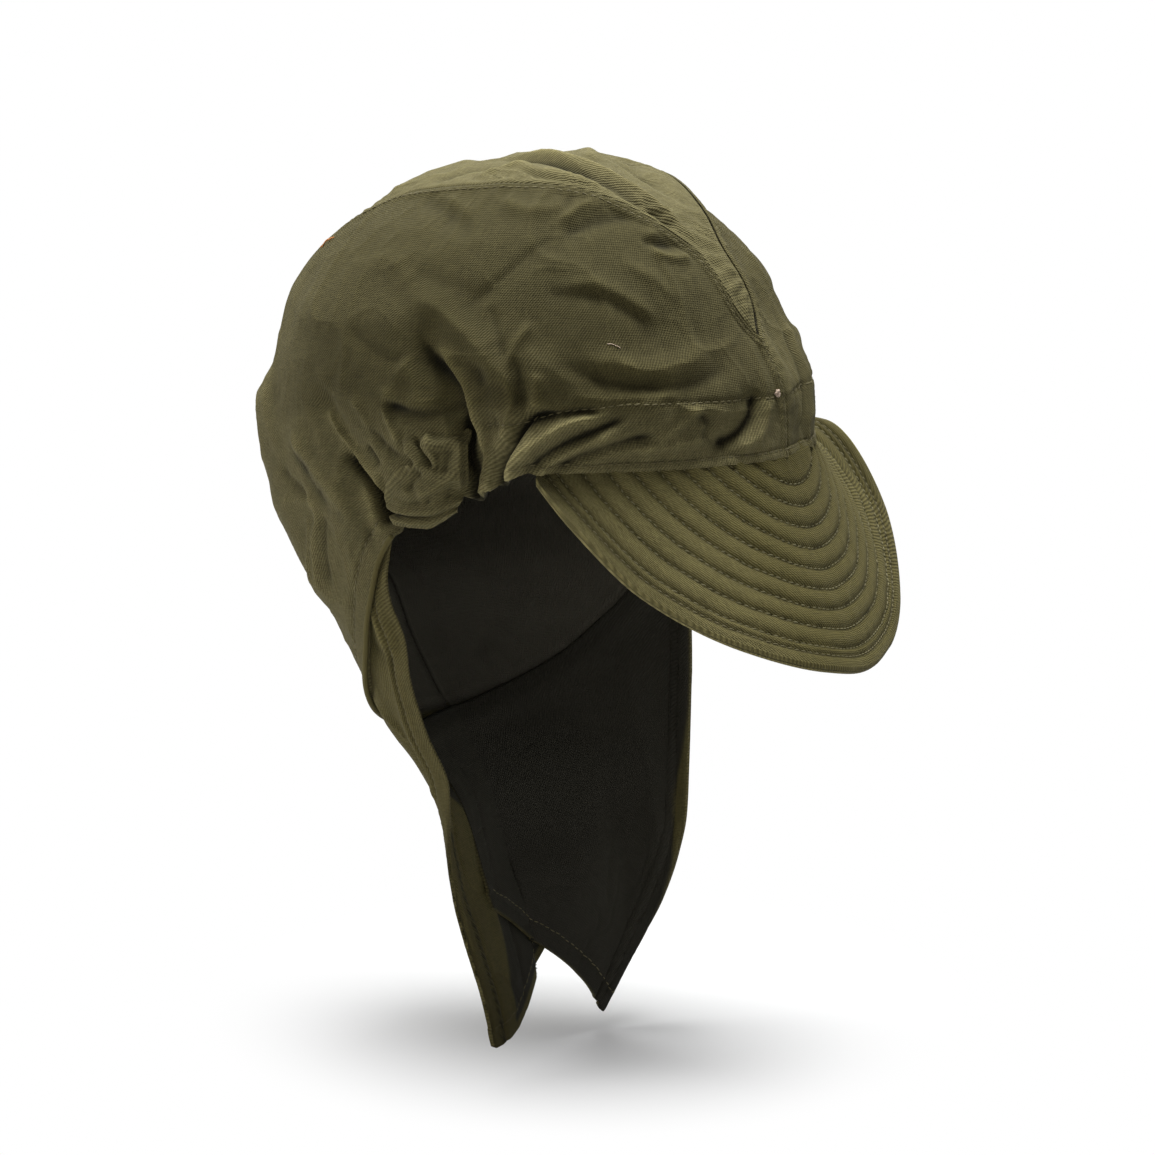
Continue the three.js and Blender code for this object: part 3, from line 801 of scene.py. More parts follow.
def thicken(piece, thickness):
    """Gives the sheet its thickness, inwards, and rounds the cut edges."""
    select_only(piece)
    outer, faces = len(piece.data.vertices), len(piece.data.polygons)
    wall = piece.modifiers.new("thickness", "SOLIDIFY")
    wall.thickness = thickness * MM
    wall.offset = -1
    bpy.ops.object.modifier_apply(modifier=wall.name)
    inner = np.zeros(len(piece.data.vertices))
    inner[outer:] = 1
    write_mask(piece.data, "inside", inner)
    bpy.ops.object.mode_set(mode="EDIT")
    bpy.ops.mesh.select_mode(type="FACE")
    bpy.ops.mesh.select_all(action="DESELECT")
    bpy.ops.object.mode_set(mode="OBJECT")
    for polygon in piece.data.polygons[2 * faces:]:
        polygon.select = True
    bpy.ops.object.mode_set(mode="EDIT")
    bpy.ops.mesh.region_to_loop()
    bpy.ops.mesh.bevel(offset=thickness * 0.3 * MM, segments=2, profile=0.6, clamp_overlap=True)
    bpy.ops.mesh.select_all(action="DESELECT")
    bpy.ops.object.mode_set(mode="OBJECT")
    bpy.ops.object.shade_smooth_by_angle(angle=SMOOTH_ANGLE)


def shape_panel(name, size, place, relief, grain, thickness, reach, columns=None, even=False):
    """One cloth panel: a grid moved onto its place and given relief, grain and thickness.

    relief gives each point's lift and the masks that go with it, in a dict by name.
    """
    piece, across, v = flat_grid(name, size)
    u = np.interp(across, *columns) if columns else across
    if even:
        u = even_across(place, across, v, size)
    middle = place(u, v)
    raised, masks = relief(u, v, middle)
    ways = sheet_direction(middle, across, v, size) if even else face_direction(place, u, v)
    points = middle + ways * (thickness / 2 + raised)[:, None]
    write_points(piece.data, points * MM)
    lay_grain(piece.data, grain(u, v, middle) * MM)
    # Painted shade and highlight: the fold mask darkens the colour in the hollows of the relief and
    # lightens it on its ridges.
    hills = np.clip(above_around(raised, across, v, size, reach) / FOLD_DEPTH, -1, 1)
    masks["fold"] = np.sign(hills) * np.abs(hills) ** 1.5
    for mask, values in masks.items():
        write_mask(piece.data, mask, values)
    thicken(piece, thickness)
    return piece


def read_mask(mesh, name):
    values = np.empty(len(mesh.vertices), np.float32)
    mesh.attributes[name].data.foreach_get("value", values)
    return values


# --- finishes ---------------------------------------------------------------------------------


def new_group(name, inputs, outputs):
    """An empty node group with named float, colour and vector sockets."""
    group = bpy.data.node_groups.new(name, "ShaderNodeTree")
    for title, kind, value in inputs:
        socket = group.interface.new_socket(title, in_out="INPUT", socket_type=kind)
        if value is not None:
            socket.default_value = value
    for title, kind in outputs:
        group.interface.new_socket(title, in_out="OUTPUT", socket_type=kind)
    return group


class Wiring:
    """Short words for adding and joining a node tree's nodes."""

    def __init__(self, tree):
        self.tree = tree

    def node(self, kind, inputs=None, **settings):
        made = self.tree.nodes.new(kind)
        for name, value in settings.items():
            setattr(made, name, value)
        for name, value in (inputs or {}).items():
            self.feed(value, made.inputs[name])
        return made

    def feed(self, value, socket):
        if isinstance(value, bpy.types.NodeSocket):
            self.tree.links.new(value, socket)
        else:
            socket.default_value = value

    def math(self, operation, first, second=0.0, clamp=False):
        made = self.node("ShaderNodeMath", {0: first, 1: second}, operation=operation)
        made.use_clamp = clamp
        return made.outputs[0]

    def blend(self, share, first, second):
        made = self.node("ShaderNodeMix", {0: share, 6: first, 7: second}, data_type="RGBA")
        return made.outputs[2]

    def scaled(self, vector, factor):
        made = self.node("ShaderNodeVectorMath", {0: vector, "Scale": factor}, operation="SCALE")
        return made.outputs[0]

    def stretched(self, vector, amounts):
        made = self.node("ShaderNodeVectorMath", {0: vector, 1: amounts}, operation="MULTIPLY")
        return made.outputs[0]

    def mask(self, name):
        """A number that write_mask stored for each point."""
        return self.node("ShaderNodeAttribute", attribute_name=name).outputs["Fac"]

    def noise(self, vector, scale, detail=2.0, roughness=0.5):
        made = self.node(
            "ShaderNodeTexNoise",
            {"Vector": vector, "Scale": scale, "Detail": detail, "Roughness": roughness},
        )
        return made.outputs["Fac"]

    def spread(self, value, low, high, to_low=0.0, to_high=1.0):
        made = self.node("ShaderNodeMapRange", {
            "Value": value, "From Min": low, "From Max": high, "To Min": to_low, "To Max": to_high,
        })
        return made.outputs[0]


def blank_wiring(holder):
    """The emptied node tree of a material or world, ready to be wired."""
    holder.use_nodes = True
    holder.node_tree.nodes.clear()
    return Wiring(holder.node_tree)


def make_twill_group():
    """Slanting ribs of twill with uneven yarns, over a place on the flat cloth in metres."""
    group = new_group(
        "Twill weave",
        [
            ("Cloth place", "NodeSocketVector", None),
            ("Rib spacing", "NodeSocketFloat", 0.0007),
            ("Yarn unevenness", "NodeSocketFloat", 0.35),
        ],
        [("Height", "NodeSocketFloat"), ("Yarn shade", "NodeSocketFloat")],
    )
    w = Wiring(group)
    given = w.node("NodeGroupInput")
    place = given.outputs["Cloth place"]
    spacing = given.outputs["Rib spacing"]
    wobble = w.noise(place, 260.0, 1.0)
    parts = w.node("ShaderNodeSeparateXYZ", {"Vector": place})
    along_x = w.math("MULTIPLY", parts.outputs["X"], 0.78)
    slant = w.math("ADD", along_x, w.math("MULTIPLY", parts.outputs["Y"], 0.62))
    ribs = w.math("ADD", w.math("DIVIDE", slant, spacing), w.math("MULTIPLY", wobble, 0.9))
    rib_wave = w.math("SINE", w.math("MULTIPLY", ribs, 2 * math.pi))
    floats = w.math("DIVIDE", parts.outputs["Y"], spacing)
    float_wave = w.math("SINE", w.math("MULTIPLY", floats, 2.9 * math.pi))
    crossed = w.math("MULTIPLY", float_wave, 0.35)
    woven = w.math("ADD", w.math("MULTIPLY", rib_wave, 0.65), crossed)
    warp = w.noise(w.stretched(place, (160.0, 1900.0, 1.0)), 1.0)
    weft = w.noise(w.stretched(place, (1900.0, 160.0, 1.0)), 1.0)
    yarns = w.math("ADD", warp, weft)
    uneven = w.math("MULTIPLY", w.math("SUBTRACT", yarns, 1.0), given.outputs["Yarn unevenness"])
    height = w.math("ADD", w.spread(woven, -1.0, 1.0), uneven)
    shade = w.math("ADD", w.spread(woven, -1.0, 1.0, 0.2, 0.8), w.math("MULTIPLY", uneven, 1.6))
    w.node("NodeGroupOutput", {"Height": height, "Yarn shade": shade})
    return group


def make_fading_and_painted_light_group():
    """Uneven fading over the piece, paler where the wear mask is high: rubbed along edges and seams, and
    painted light where the lamps leave parts too dark.
    """
    group = new_group(
        "Faded dye and painted light",
        [
            ("Dyed", "NodeSocketColor", (0.06, 0.06, 0.02, 1)),
            ("Rubbed and painted light", "NodeSocketColor", (0.12, 0.12, 0.06, 1)),
            ("Wear", "NodeSocketFloat", 0.0),
            ("Wear amount", "NodeSocketFloat", 0.5),
            ("Blotching", "NodeSocketFloat", 0.2),
        ],
        [("Colour", "NodeSocketColor")],
    )
    w = Wiring(group)
    given = w.node("NodeGroupInput")
    place = w.node("ShaderNodeTexCoord").outputs["Object"]
    cloud = w.noise(place, 22.0, 4.0, 0.6)
    fine = w.noise(place, 900.0, 3.0, 0.6)
    blotch = w.math("MULTIPLY", w.math("SUBTRACT", cloud, 0.5), given.outputs["Blotching"])
    lighter = w.spread(w.math("ADD", blotch, 0.5), 0.0, 1.0, 0.5, 1.5)
    toned = w.scaled(given.outputs["Dyed"], lighter)
    patchy = w.math("MULTIPLY", given.outputs["Wear"], w.spread(fine, 0.2, 0.8, 0.3, 0.72))
    rubbed_and_painted_light = w.math("MULTIPLY", patchy, given.outputs["Wear amount"], clamp=True)
    w.node("NodeGroupOutput", {"Colour": w.blend(rubbed_and_painted_light, toned, given.outputs["Rubbed and painted light"])})
    return group


def cloth_finish(name, dyed, rubbed_and_painted_light, painted_inside_shade, rib=0.0008, lift=0.0003, yarns=(0.4, 1.6)):
    """Olive twill whose inner side can carry an inside colour, painted shade in place of a lining, and
    whose folds carry painted shade and highlights.

    rib and lift are the weave's spacing and height in metres, and yarns how dark and how light
    it makes the colour.
    """
    finish = bpy.data.materials.new(name)
    w = blank_wiring(finish)
    cut = w.node("ShaderNodeUVMap").outputs["UV"]
    weave = w.node("ShaderNodeGroup", {"Cloth place": cut, "Rib spacing": rib}, node_tree=TWILL)
    faded_and_painted_light = w.node(
        "ShaderNodeGroup",
        {"Dyed": (*dyed, 1), "Rubbed and painted light": (*rubbed_and_painted_light, 1), "Wear": w.mask("wear")},
        node_tree=FADING_AND_PAINTED_LIGHT,
    )
    yarn = w.spread(weave.outputs["Yarn shade"], 0.0, 1.0, *yarns)
    # Painted shade in hollows and painted highlight on ridges, from the fold mask.
    fold = w.mask("fold")
    painted_valley_shade = w.spread(fold, -1.0, 0.0, FOLD_PAINTED_SHADE, 1.0)
    raised = w.spread(fold, 0.0, 1.0, 1.0, FOLD_PAINTED_HIGHLIGHT)
    creased = w.scaled(w.scaled(faded_and_painted_light.outputs["Colour"], yarn), w.math("MULTIPLY", painted_valley_shade, raised))
    # Painted shade: the inner side takes the inside colour.
    colour = w.blend(w.mask("painted_inside_shade"), creased, (*painted_inside_shade, 1))
    bump = w.node("ShaderNodeBump", {
        "Height": weave.outputs["Height"], "Distance": lift, "Strength": 0.9,
    })
    rough = w.spread(weave.outputs["Yarn shade"], 0.0, 1.0, 0.92, 0.78)
    shader = w.node("ShaderNodeBsdfPrincipled", {
        "Base Color": colour,
        "Roughness": rough,
        "Specular IOR Level": 0.13,
        "Sheen Weight": 0.03,
        "Sheen Tint": (1.0, 0.93, 0.6, 1),
        "Sheen Roughness": 0.45,
        "Normal": bump.outputs["Normal"],
    })
    w.node("ShaderNodeOutputMaterial", {"Surface": shader.outputs["BSDF"]})
    return finish


def thread_finish(name, colour, rubbed_and_painted_light):
    """Twisted cotton thread, a little shinier than the cloth."""
    finish = bpy.data.materials.new(name)
    w = blank_wiring(finish)
    place = w.node("ShaderNodeTexCoord").outputs["Object"]
    faded_and_painted_light = w.node(
        "ShaderNodeGroup",
        {"Dyed": (*colour, 1), "Rubbed and painted light": (*rubbed_and_painted_light, 1), "Wear": 0.6, "Blotching": 0.5},
        node_tree=FADING_AND_PAINTED_LIGHT,
    )
    twist = w.noise(place, 2600.0, 2.0)
    bump = w.node("ShaderNodeBump", {"Height": twist, "Distance": 0.0001, "Strength": 0.6})
    shader = w.node("ShaderNodeBsdfPrincipled", {
        "Base Color": faded_and_painted_light.outputs["Colour"],
        "Roughness": w.spread(twist, 0.3, 0.7, 0.8, 0.6),
        "Specular IOR Level": 0.35,
        "Normal": bump.outputs["Normal"],
    })
    w.node("ShaderNodeOutputMaterial", {"Surface": shader.outputs["BSDF"]})
    return finish


TWILL = make_twill_group()
FADING_AND_PAINTED_LIGHT = make_fading_and_painted_light_group()
# Painted shade and highlight: how much darker the cloth is painted at the bottom of a fold than around
# it, and how much lighter at its top.
FOLD_PAINTED_SHADE, FOLD_PAINTED_HIGHLIGHT = 0.14, 1.6
# Each twill's dyed colour, its paler colour for rubbed wear and painted light, and its inside colour,
# painted shade on the inner side.
CROWN_TWILL = cloth_finish(
    "Cap twill", (0.050, 0.0425, 0.0155), (0.125, 0.109, 0.050), (0.056, 0.0515, 0.0390)
)
# The peak's and the flap's dyed colours are lighter than the crown's: partly their own tone, partly
# painted light for parts the lamps leave in shade.
PEAK_TWILL = cloth_finish(
    "Peak twill", (0.070, 0.0590, 0.0180), (0.15, 0.13, 0.055), (0.0055, 0.0052, 0.0036),
    rib=0.0009, lift=0.0004, yarns=(0.3, 1.7),
)
FLAP_TWILL = cloth_finish(
    "Flap twill", (0.078, 0.0660, 0.0240), (0.135, 0.117, 0.053), (0.0250, 0.0232, 0.0170)
)
SEAM_THREAD = thread_finish("Seam thread", (0.088, 0.075, 0.03), (0.19, 0.16, 0.08))
PEAK_THREAD = thread_finish("Peak thread", (0.105, 0.093, 0.04), (0.22, 0.195, 0.1))
LOOSE_THREAD = thread_finish("Loose tan thread", (0.42, 0.16, 0.04), (0.5, 0.25, 0.1))
PALE_THREAD = thread_finish("Pale loose thread", (0.4, 0.3, 0.24), (0.5, 0.4, 0.3))


def finish_piece(piece, finish, nodes=()):
    piece.data.materials.clear()
    piece.data.materials.append(finish)
    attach(piece, "root")
    if nodes:
        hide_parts(*nodes)


# --- crown ------------------------------------------------------------------------------------


def line_on(place, u, v, count=400):
    """Points along a panel at the given u and v, either of which may be a pair to run between."""
    t = np.linspace(0, 1, count)
    us = between(u[0], u[1], t) if isinstance(u, tuple) else np.full(count, float(u))
    vs = between(v[0], v[1], t) if isinstance(v, tuple) else np.full(count, float(v))
    return place(us, vs)


def make_side_panel(side):
    flat, place = side_place(side)
    front_u = 1 if side == RIGHT else 0
    top_seam = line_on(place, (0, 1), 1)
    front_seam = line_on(place, front_u, (0, 1))
    lower = line_on(place, (0, 1), 0)
    back_seam = line_on(place, 1 - front_u, (0, 1))
    band = np.array(BAND_STITCHES, float)
    band_line = crown_skin(side, band[:, 0], band[:, 1])

    def relief(u, v, middle):
        turn, height = flat(u, v)
        around = turn * ARC_PER_DEGREE
        to_top, at_top = measure_from(top_seam, middle)
        to_front, at_front = measure_from(front_seam, middle)
        to_lower, at_lower = measure_from(lower, middle)
        to_back, at_back = measure_from(back_seam, middle)
        to_band, at_band = measure_from(band_line, middle)
        near_ear = mound(turn, 84, 26) * mound(height, -4, 30)
        lift = creases(side, turn, height) + 1.3 * pleats(around, height, 30, 3 + side)
        lift = lift + 0.5 * pleats(around, height, 13, 5 + side) + 0.12 * waver(around, height, 4.5, 9)
        slack = 0.9 * pleats(around, height * 0.55, 9, 12) + 0.4 * waver(around, height, 4, 14)
        lift = lift + near_ear * slack
        lift = lift + pucker(to_top, at_top, 0.7, 6, 8.5, 20 + side)
        lift = lift + pucker(to_lower, at_lower, 0.45, 5, 7, 28 + side)
        lift = lift + pucker(to_band, at_band, 0.45, 4.5, 6.2, 35 + side)
        forward = from_front(side, u)
        lift = lift * ease(0.3, 7, to_top) * ease(0.3, 6, to_front) * ease(0.3, 10, to_back)
        lift = lift * between(1, ease(0, 11, to_lower), ease(0.5, 0.6, forward))
        lift = lift + pucker(to_front, at_front, 0.45, 4, 6.5, 24 + side) * ease(0.2, 2, to_front)
        lift = lift + 0.5 * pucker(to_top, at_top, 0.9, 4, 6.5, 26 + side) * ease(0.2, 2.5, to_top)
        lift = lift - 0.6 * mound(to_band, 0, 1.1)
        lift = lift + 0.9 * (1 - ease(2.8, 4.2, to_top)) - 0.7 * mound(to_top, 2.3, 0.8)
        lift = lift - 0.8 * mound(to_top, 0, 0.7) - 1.1 * mound(to_front, 0, 0.8)
        lift = lift + pucker(to_back, at_back, 0.5, 6, 8, 31 + side) * ease(0.2, 2.5, to_back)
        lift = lift - 0.6 * mound(to_back, 0, 0.7)
        if side == RIGHT:
            lift = lift + 1.1 * (1 - ease(2.4, 3.8, to_front)) - 0.6 * mound(to_front, 1.9, 0.7)
            lift = lift + 0.5 * (1 - ease(2.6, 4.0, to_back)) - 0.4 * mound(to_back, 2.3, 0.7)
        else:
            hollow = mound(to_top, 12, 8) * ease(0.02, 0.09, forward) * (1 - ease(0.4, 0.52, forward))
            lift = lift - 2.6 * hollow
        foot = 1 - ease(0.34, 0.42, forward)
        lift = lift + foot * (0.7 * (1 - ease(2.4, 3.4, to_lower)) - 0.5 * mound(to_lower, 2.6, 0.8))
        nape = ease(0.5, 0.58, forward)
        lift = lift - nape * 0.6 * mound(to_lower, 8, 0.9)

        # Paler cloth: rubbed along the seams and at the brow. The extra paleness at the left brow, low
        # down, at the back and on the near band is painted light, lifting places the lamps leave too
        # dark.
        edges = mound(np.minimum.reduce([to_top, to_front, to_lower, to_back]), 0, 1.2) * 0.3
        brow = (1.5 if side == LEFT else 0.5) * (1 - ease(0.06, 0.3, forward))
        behind = ease(108, 142, turn) * (1 - ease(30, 76, height))
        low = 2.2 * np.maximum(1 - ease(0, 26, height), behind)
        on_band = 1.6 * (1 - ease(16, 26, height)) * (1 - ease(66, 84, turn))
        worn_and_painted_light = edges + np.maximum(brow, low) + on_band * (side == RIGHT)
        return lift, {"wear": worn_and_painted_light, "low": to_lower}

    def grain(u, v, middle):
        turn, height = flat(u, v)
        return np.stack([turn * ARC_PER_DEGREE, height], -1)

    shares = np.array(SIDE_COLUMNS)
    columns = (1 - shares[:, ::-1]) if side == RIGHT else shares
    piece = shape_panel(
        f"side_panel_{WORD[side]}", GRID["side"], place, relief, grain, CLOTH, FOLD_REACH, tuple(columns)
    )
    # The inner side carries painted shade, the inside colour, which stops short of the lower edge, where
    # the cloth is turned in.
    hidden = read_mask(piece.data, "inside") * ease(2.2, 3.4, read_mask(piece.data, "low"))
    write_mask(piece.data, "painted_inside_shade", hidden)
    finish_piece(piece, CROWN_TWILL, [f"crown_side_{WORD[side]}"])


def make_top_panel():
    right_seam = line_on(top_place, (0, 1), 0)
    left_seam = line_on(top_place, (0, 1), 1)

    def relief(u, v, middle):
        to_right, at_right = measure_from(right_seam, middle)
        to_left, at_left = measure_from(left_seam, middle)
        near = np.minimum(to_right, to_left)
        x, y = middle[:, 0], middle[:, 1]
        lift = 1.1 * pleats(x, y * 0.6, 20, 41) + 0.4 * pleats(x, y, 9, 42) + 0.1 * waver(x, y, 4, 47)
        lift = lift + pucker(to_right, at_right, 0.8, 7, 8, 43) + pucker(to_left, at_left, 0.7, 7, 8, 45)
        for line, depth, left, right in TOP_CREASES:
            lift = lift + crease(x, y, line, depth, left, right)
        lift = lift * ease(0.3, 4.5, near) - 0.8 * mound(near, 0, 0.7)
        # The whole top is painted paler, painted light where the lamps fall on it, and rubbed paler
        # along its seams.
        return lift, {"wear": 2.3 + mound(near, 0, 1.4) * 0.5}

    def grain(u, v, middle):
        return middle[:, :2]

    piece = shape_panel("top_panel", GRID["top"], top_place, relief, grain, CLOTH, FOLD_REACH)
    # Painted shade: the whole inner side takes the inside colour.
    write_mask(piece.data, "painted_inside_shade", read_mask(piece.data, "inside"))
    finish_piece(piece, CROWN_TWILL, ["crown_top"])


# Creases of the top panel, seen from above: places in x and y, depth, and widths.
TOP_CREASES = (
    (((-8, 14), (-14, -14), (-16, -34), (-13, -54), (-8, -70)), -3.0, 2.2, 3.6),
    (((-2, 14), (-8, -14), (-10, -34), (-8, -54), (-4, -68)), 2.0, 2.6, 2.2),
    (((-24, 4), (-27, -20), (-21, -42)), 1.6, 2.6, 4),
    (((16, 0), (9, -30), (5, -56)), -2.4, 4, 3),
    (((-37, 24), (-24, 10), (-19, -8)), -1.9, 4, 4),
    (((-30, 48), (-15, 34), (-8, 18)), 1.6, 3.4, 5),
    (((26, 34), (12, 18), (6, -2)), 1.5, 4, 5),
    (((24, -2), (9, -14), (-7, -25)), 2.6, 4.5, 5),
    (((30, -16), (15, -31), (3, -44)), -2.2, 5, 5),
    (((-30, -8), (-31, -26), (-24, -44)), -1.2, 1.6, 1.8),
    (((-12, -44), (-14, -58), (-9, -72)), 1.1, 1.5, 1.8),
    (((-36, 4), (-28, -4), (-22, -14)), 1.0, 1.6, 1.8),
)

make_side_panel(RIGHT)
make_side_panel(LEFT)
make_top_panel()


# --- neck flap --------------------------------------------------------------------------------

CURL_WAY = np.array([0.545, -0.839, 0])
FLAP_CREASES = {
    RIGHT: (
        (((98, -60), (110, -90), (116, -120)), -1.4, 5, 6),
        (((120, -100), (126, -140), (122, -180)), 1.2, 8, 8),
        (((150, -112), (152, -150), (146, -196)), -1.6, 9, 9),
        (((91, -36), (96, -46), (94.5, -60), (96, -74)), 2.0, 2.2, 2.6),
        (((98, -44), (102, -58), (101, -74)), -2.0, 3, 3),
        (((104, -52), (108, -66), (106, -82)), 1.2, 3, 3),
    ),
    LEFT: (
        (((96, -60), (100, -110), (98, -160)), 1.6, 6, 7),
        (((110, -84), (116, -130), (112, -180)), -2.2, 7, 8),
        (((132, -104), (134, -150), (124, -200)), 1.8, 8, 8),
        (((156, -112), (154, -150), (146, -190)), -1.5, 8, 8),
        (((93, -150), (98, -180), (98, -212)), -1.2, 4, 5),
    ),
}
# How far the right half's front edge curls towards the brow, and how wide its facing is inside; beyond
# the facing the inner side carries painted shade.
FLAP_CURL = table("height reach", [
    (-220, 0), (-170, 0), (-150, 2), (-130, 6), (-114, 8.2), (-94, 6.4), (-80, 5.4), (-66, 6.5),
    (-50, 4), (-40, 1), (-31, 0),
])
FACING_WIDTH = {
    RIGHT: table("height width", [
        (-230, 14), (-218, 16), (-198, 19), (-180, 24), (-155, 29), (-140, 27), (-120, 20),
        (-100, 13), (-60, 9), (-30, 8),
    ]),
    LEFT: table("height width", [
        (-230, 0), (-200, 0), (-175, 1), (-150, 5), (-130, 2), (-110, 0), (-30, 0),
    ]),
}


def make_flap(side):
    flat, place = flap_place(side)
    front_u = 1 if side == RIGHT else 0
    front_edge = line_on(place, front_u, (0, 1))
    hem = line_on(place, (0, 1), 0)
    seam = line_on(place, (0, 1), 1)
    lap_edge = line_on(place, 1 - front_u, (0, 1))

    def relief(u, v, middle):
        turn, height = flat(u, v)
        to_front, at_front = measure_from(front_edge, middle)
        to_hem, at_hem = measure_from(hem, middle)
        to_seam, at_seam = measure_from(seam, middle)
        to_lap, _ = measure_from(lap_edge, middle)
        lift = np.zeros(len(u))
        for line, depth, left, right in FLAP_CREASES[side]:
            lift = lift + crease(turn, height, np.array(line, float), depth, left, right)
        lift = lift + 1.1 * pleats(turn, height * 0.6, 26, 61 + side)
        lift = lift + 0.4 * pleats(turn, height, 11, 63 + side)
        lift = lift + pucker(to_front, at_front, 0.35, 6, 13, 65 + side) * ease(0, 5, to_front)
        lift = lift + pucker(to_hem, at_hem, 0.35, 6, 12, 67 + side) * ease(0, 5, to_hem)
        lift = lift + pucker(to_seam, at_seam, 0.6, 6, 7.5, 69 + side)
        lift = lift * ease(-1, 5, to_lap) * ease(-6, 12, to_front) * ease(-6, 12, to_hem)
        lift = lift * between(0.15, 1, ease(0, 9 if side == RIGHT else 15, to_seam))
        lift = lift + 0.7 * (1 - ease(6, 7.2, to_front)) - 0.8 * mound(to_front, 6.6, 0.8)
        lift = lift + 0.6 * mound(to_front, 8.6, 1.1) + 0.3 * mound(to_front, 1, 1.2)
        lift = lift + 0.5 * (1 - ease(6.6, 8, to_hem)) - 0.4 * mound(to_hem, 6.8, 0.8)
        return lift, {"wear": mound(np.minimum.reduce([to_front, to_hem, to_lap]), 0, 1.6)}

    def grain(u, v, middle):
        turn, height = flat(u, v)
        return np.stack([turn * FLAP_ARC_PER_DEGREE, height], -1)

    piece = shape_panel(
        f"flap_panel_{WORD[side]}", GRID["flap"], place, relief, grain, HEM_CLOTH, FOLD_REACH, even=True
    )
    mesh = piece.data
    points = read_points(mesh) / MM
    to_front, _ = measure_from(front_edge, points)
    to_hem, _ = measure_from(hem, points)
    to_seam, _ = measure_from(seam, points)
    # Painted shade: the inner side beyond the facing, and the turned-in allowance at the seam, take the
    # dark inside colour.
    width = smooth(FACING_WIDTH[side], "width", points[:, 2])
    inside = read_mask(mesh, "inside")
    hem_reach = 2 if side == RIGHT else -0.8
    faced = ease(-0.5, 1.5, to_front - width) * ease(hem_reach, hem_reach + 1.5, to_hem)
    write_mask(mesh, "painted_inside_shade", np.maximum(inside * faced, 1 - ease(0.8, 1.6, to_seam)))
    thinned = 1.1 * (1 - ease(0, SEAM_ALLOWANCE + 4, to_seam)) * (inside > 0.9)
    # The turned hem stands up on the inner side too.
    ways = np.empty(len(mesh.vertices) * 3)
    mesh.vertices.foreach_get("normal", ways)
    rolled = 0.8 * (1 - ease(5.0, 6.2, to_front)) - 0.5 * mound(to_front, 6.4, 0.7)
    rolled = rolled * ease(0.5, 2, to_front) * (inside > 0.9)
    write_points(mesh, (points + ways.reshape(-1, 3) * (rolled - thinned)[:, None]) * MM)
    # Painted shade: a dark line along the groove inside the front edge, on the inner side.
    fold = read_mask(mesh, "fold") - (inside > 0.9) * 0.7 * mound(to_front, 6.6, 0.8)
    write_mask(mesh, "fold", np.clip(fold, -1, 1))
    finish_piece(piece, FLAP_TWILL, [f"neck_flap_{WORD[side]}"])


make_flap(RIGHT)
make_flap(LEFT)


# --- quilted peak -----------------------------------------------------------------------------


def peak_middle(turn, share):
    """A point of the peak's middle surface, share running from the band to the edge."""
    size = np.abs(turn)
    on_right = (turn < 0)[..., None]
    band = np.where(on_right, skin(RIGHT, size, 0), skin(LEFT, size, 0))
    way = np.where(on_right, outward(RIGHT, size), outward(LEFT, size))
    out = smooth(PEAK_SECTIONS, "out", turn)
    drop = np.maximum(smooth(PEAK_SECTIONS, "drop", turn), 2.3)
    run = np.clip((share - PEAK_TUCK_SHARE) / (1 - PEAK_TUCK_SHARE), 0, 1)
    tuck = np.clip(1 - share / PEAK_TUCK_SHARE, 0, 1)
    point = band + way * (out * run - PEAK_TUCK * tuck**0.7)[..., None]
    point[..., 2] = -between(0.4, drop, run) + PEAK_TUCK_HEIGHT * tuck
    return point


def row_distances(middle_at, edge):
    """Distance in from the peak's edge, its lines rounded off towards the middle as sewn rows are."""
    columns, rows = PEAK_MAP
    a, b = np.meshgrid(np.linspace(0, 1, columns + 1), np.linspace(0, 1, rows + 1), indexing="ij")
    away, _ = measure_from(edge, middle_at(a.ravel(), b.ravel()))
    away = away.reshape(a.shape)
    away = between(away, blurred(away, 24, 0), ease(16, 60, away))

    def at(u, v):
        x, y = np.clip(u, 0, 1) * columns, np.clip(v, 0, 1) * rows
        i, j = np.minimum(x.astype(int), columns - 1), np.minimum(y.astype(int), rows - 1)
        near = between(away[i, j], away[i + 1, j], x - i)
        far = between(away[i, j + 1], away[i + 1, j + 1], x - i)
        return between(near, far, y - j)

    return at


def close_skin(piece, first, last):
    """Joins the skin's first and last rows of points along the band, and closes its ends."""
    mesh = piece.data
    for edge in mesh.edges:
        a, b = edge.vertices
        edge.select = bool((first[a] and first[b]) or (last[a] and last[b]))
    for vertex in mesh.vertices:
        vertex.select = bool(first[vertex.index] or last[vertex.index])
    for polygon in mesh.polygons:
        polygon.select = False
    select_only(piece)
    bpy.ops.object.mode_set(mode="EDIT")
    bpy.ops.mesh.select_mode(type="EDGE")
    bpy.ops.mesh.bridge_edge_loops()
    bpy.ops.mesh.select_all(action="SELECT")
    bpy.ops.mesh.fill_holes(sides=0)
    bpy.ops.mesh.normals_make_consistent(inside=False)
    bpy.ops.object.mode_set(mode="OBJECT")
    bpy.ops.object.shade_smooth_by_angle(angle=SMOOTH_ANGLE)


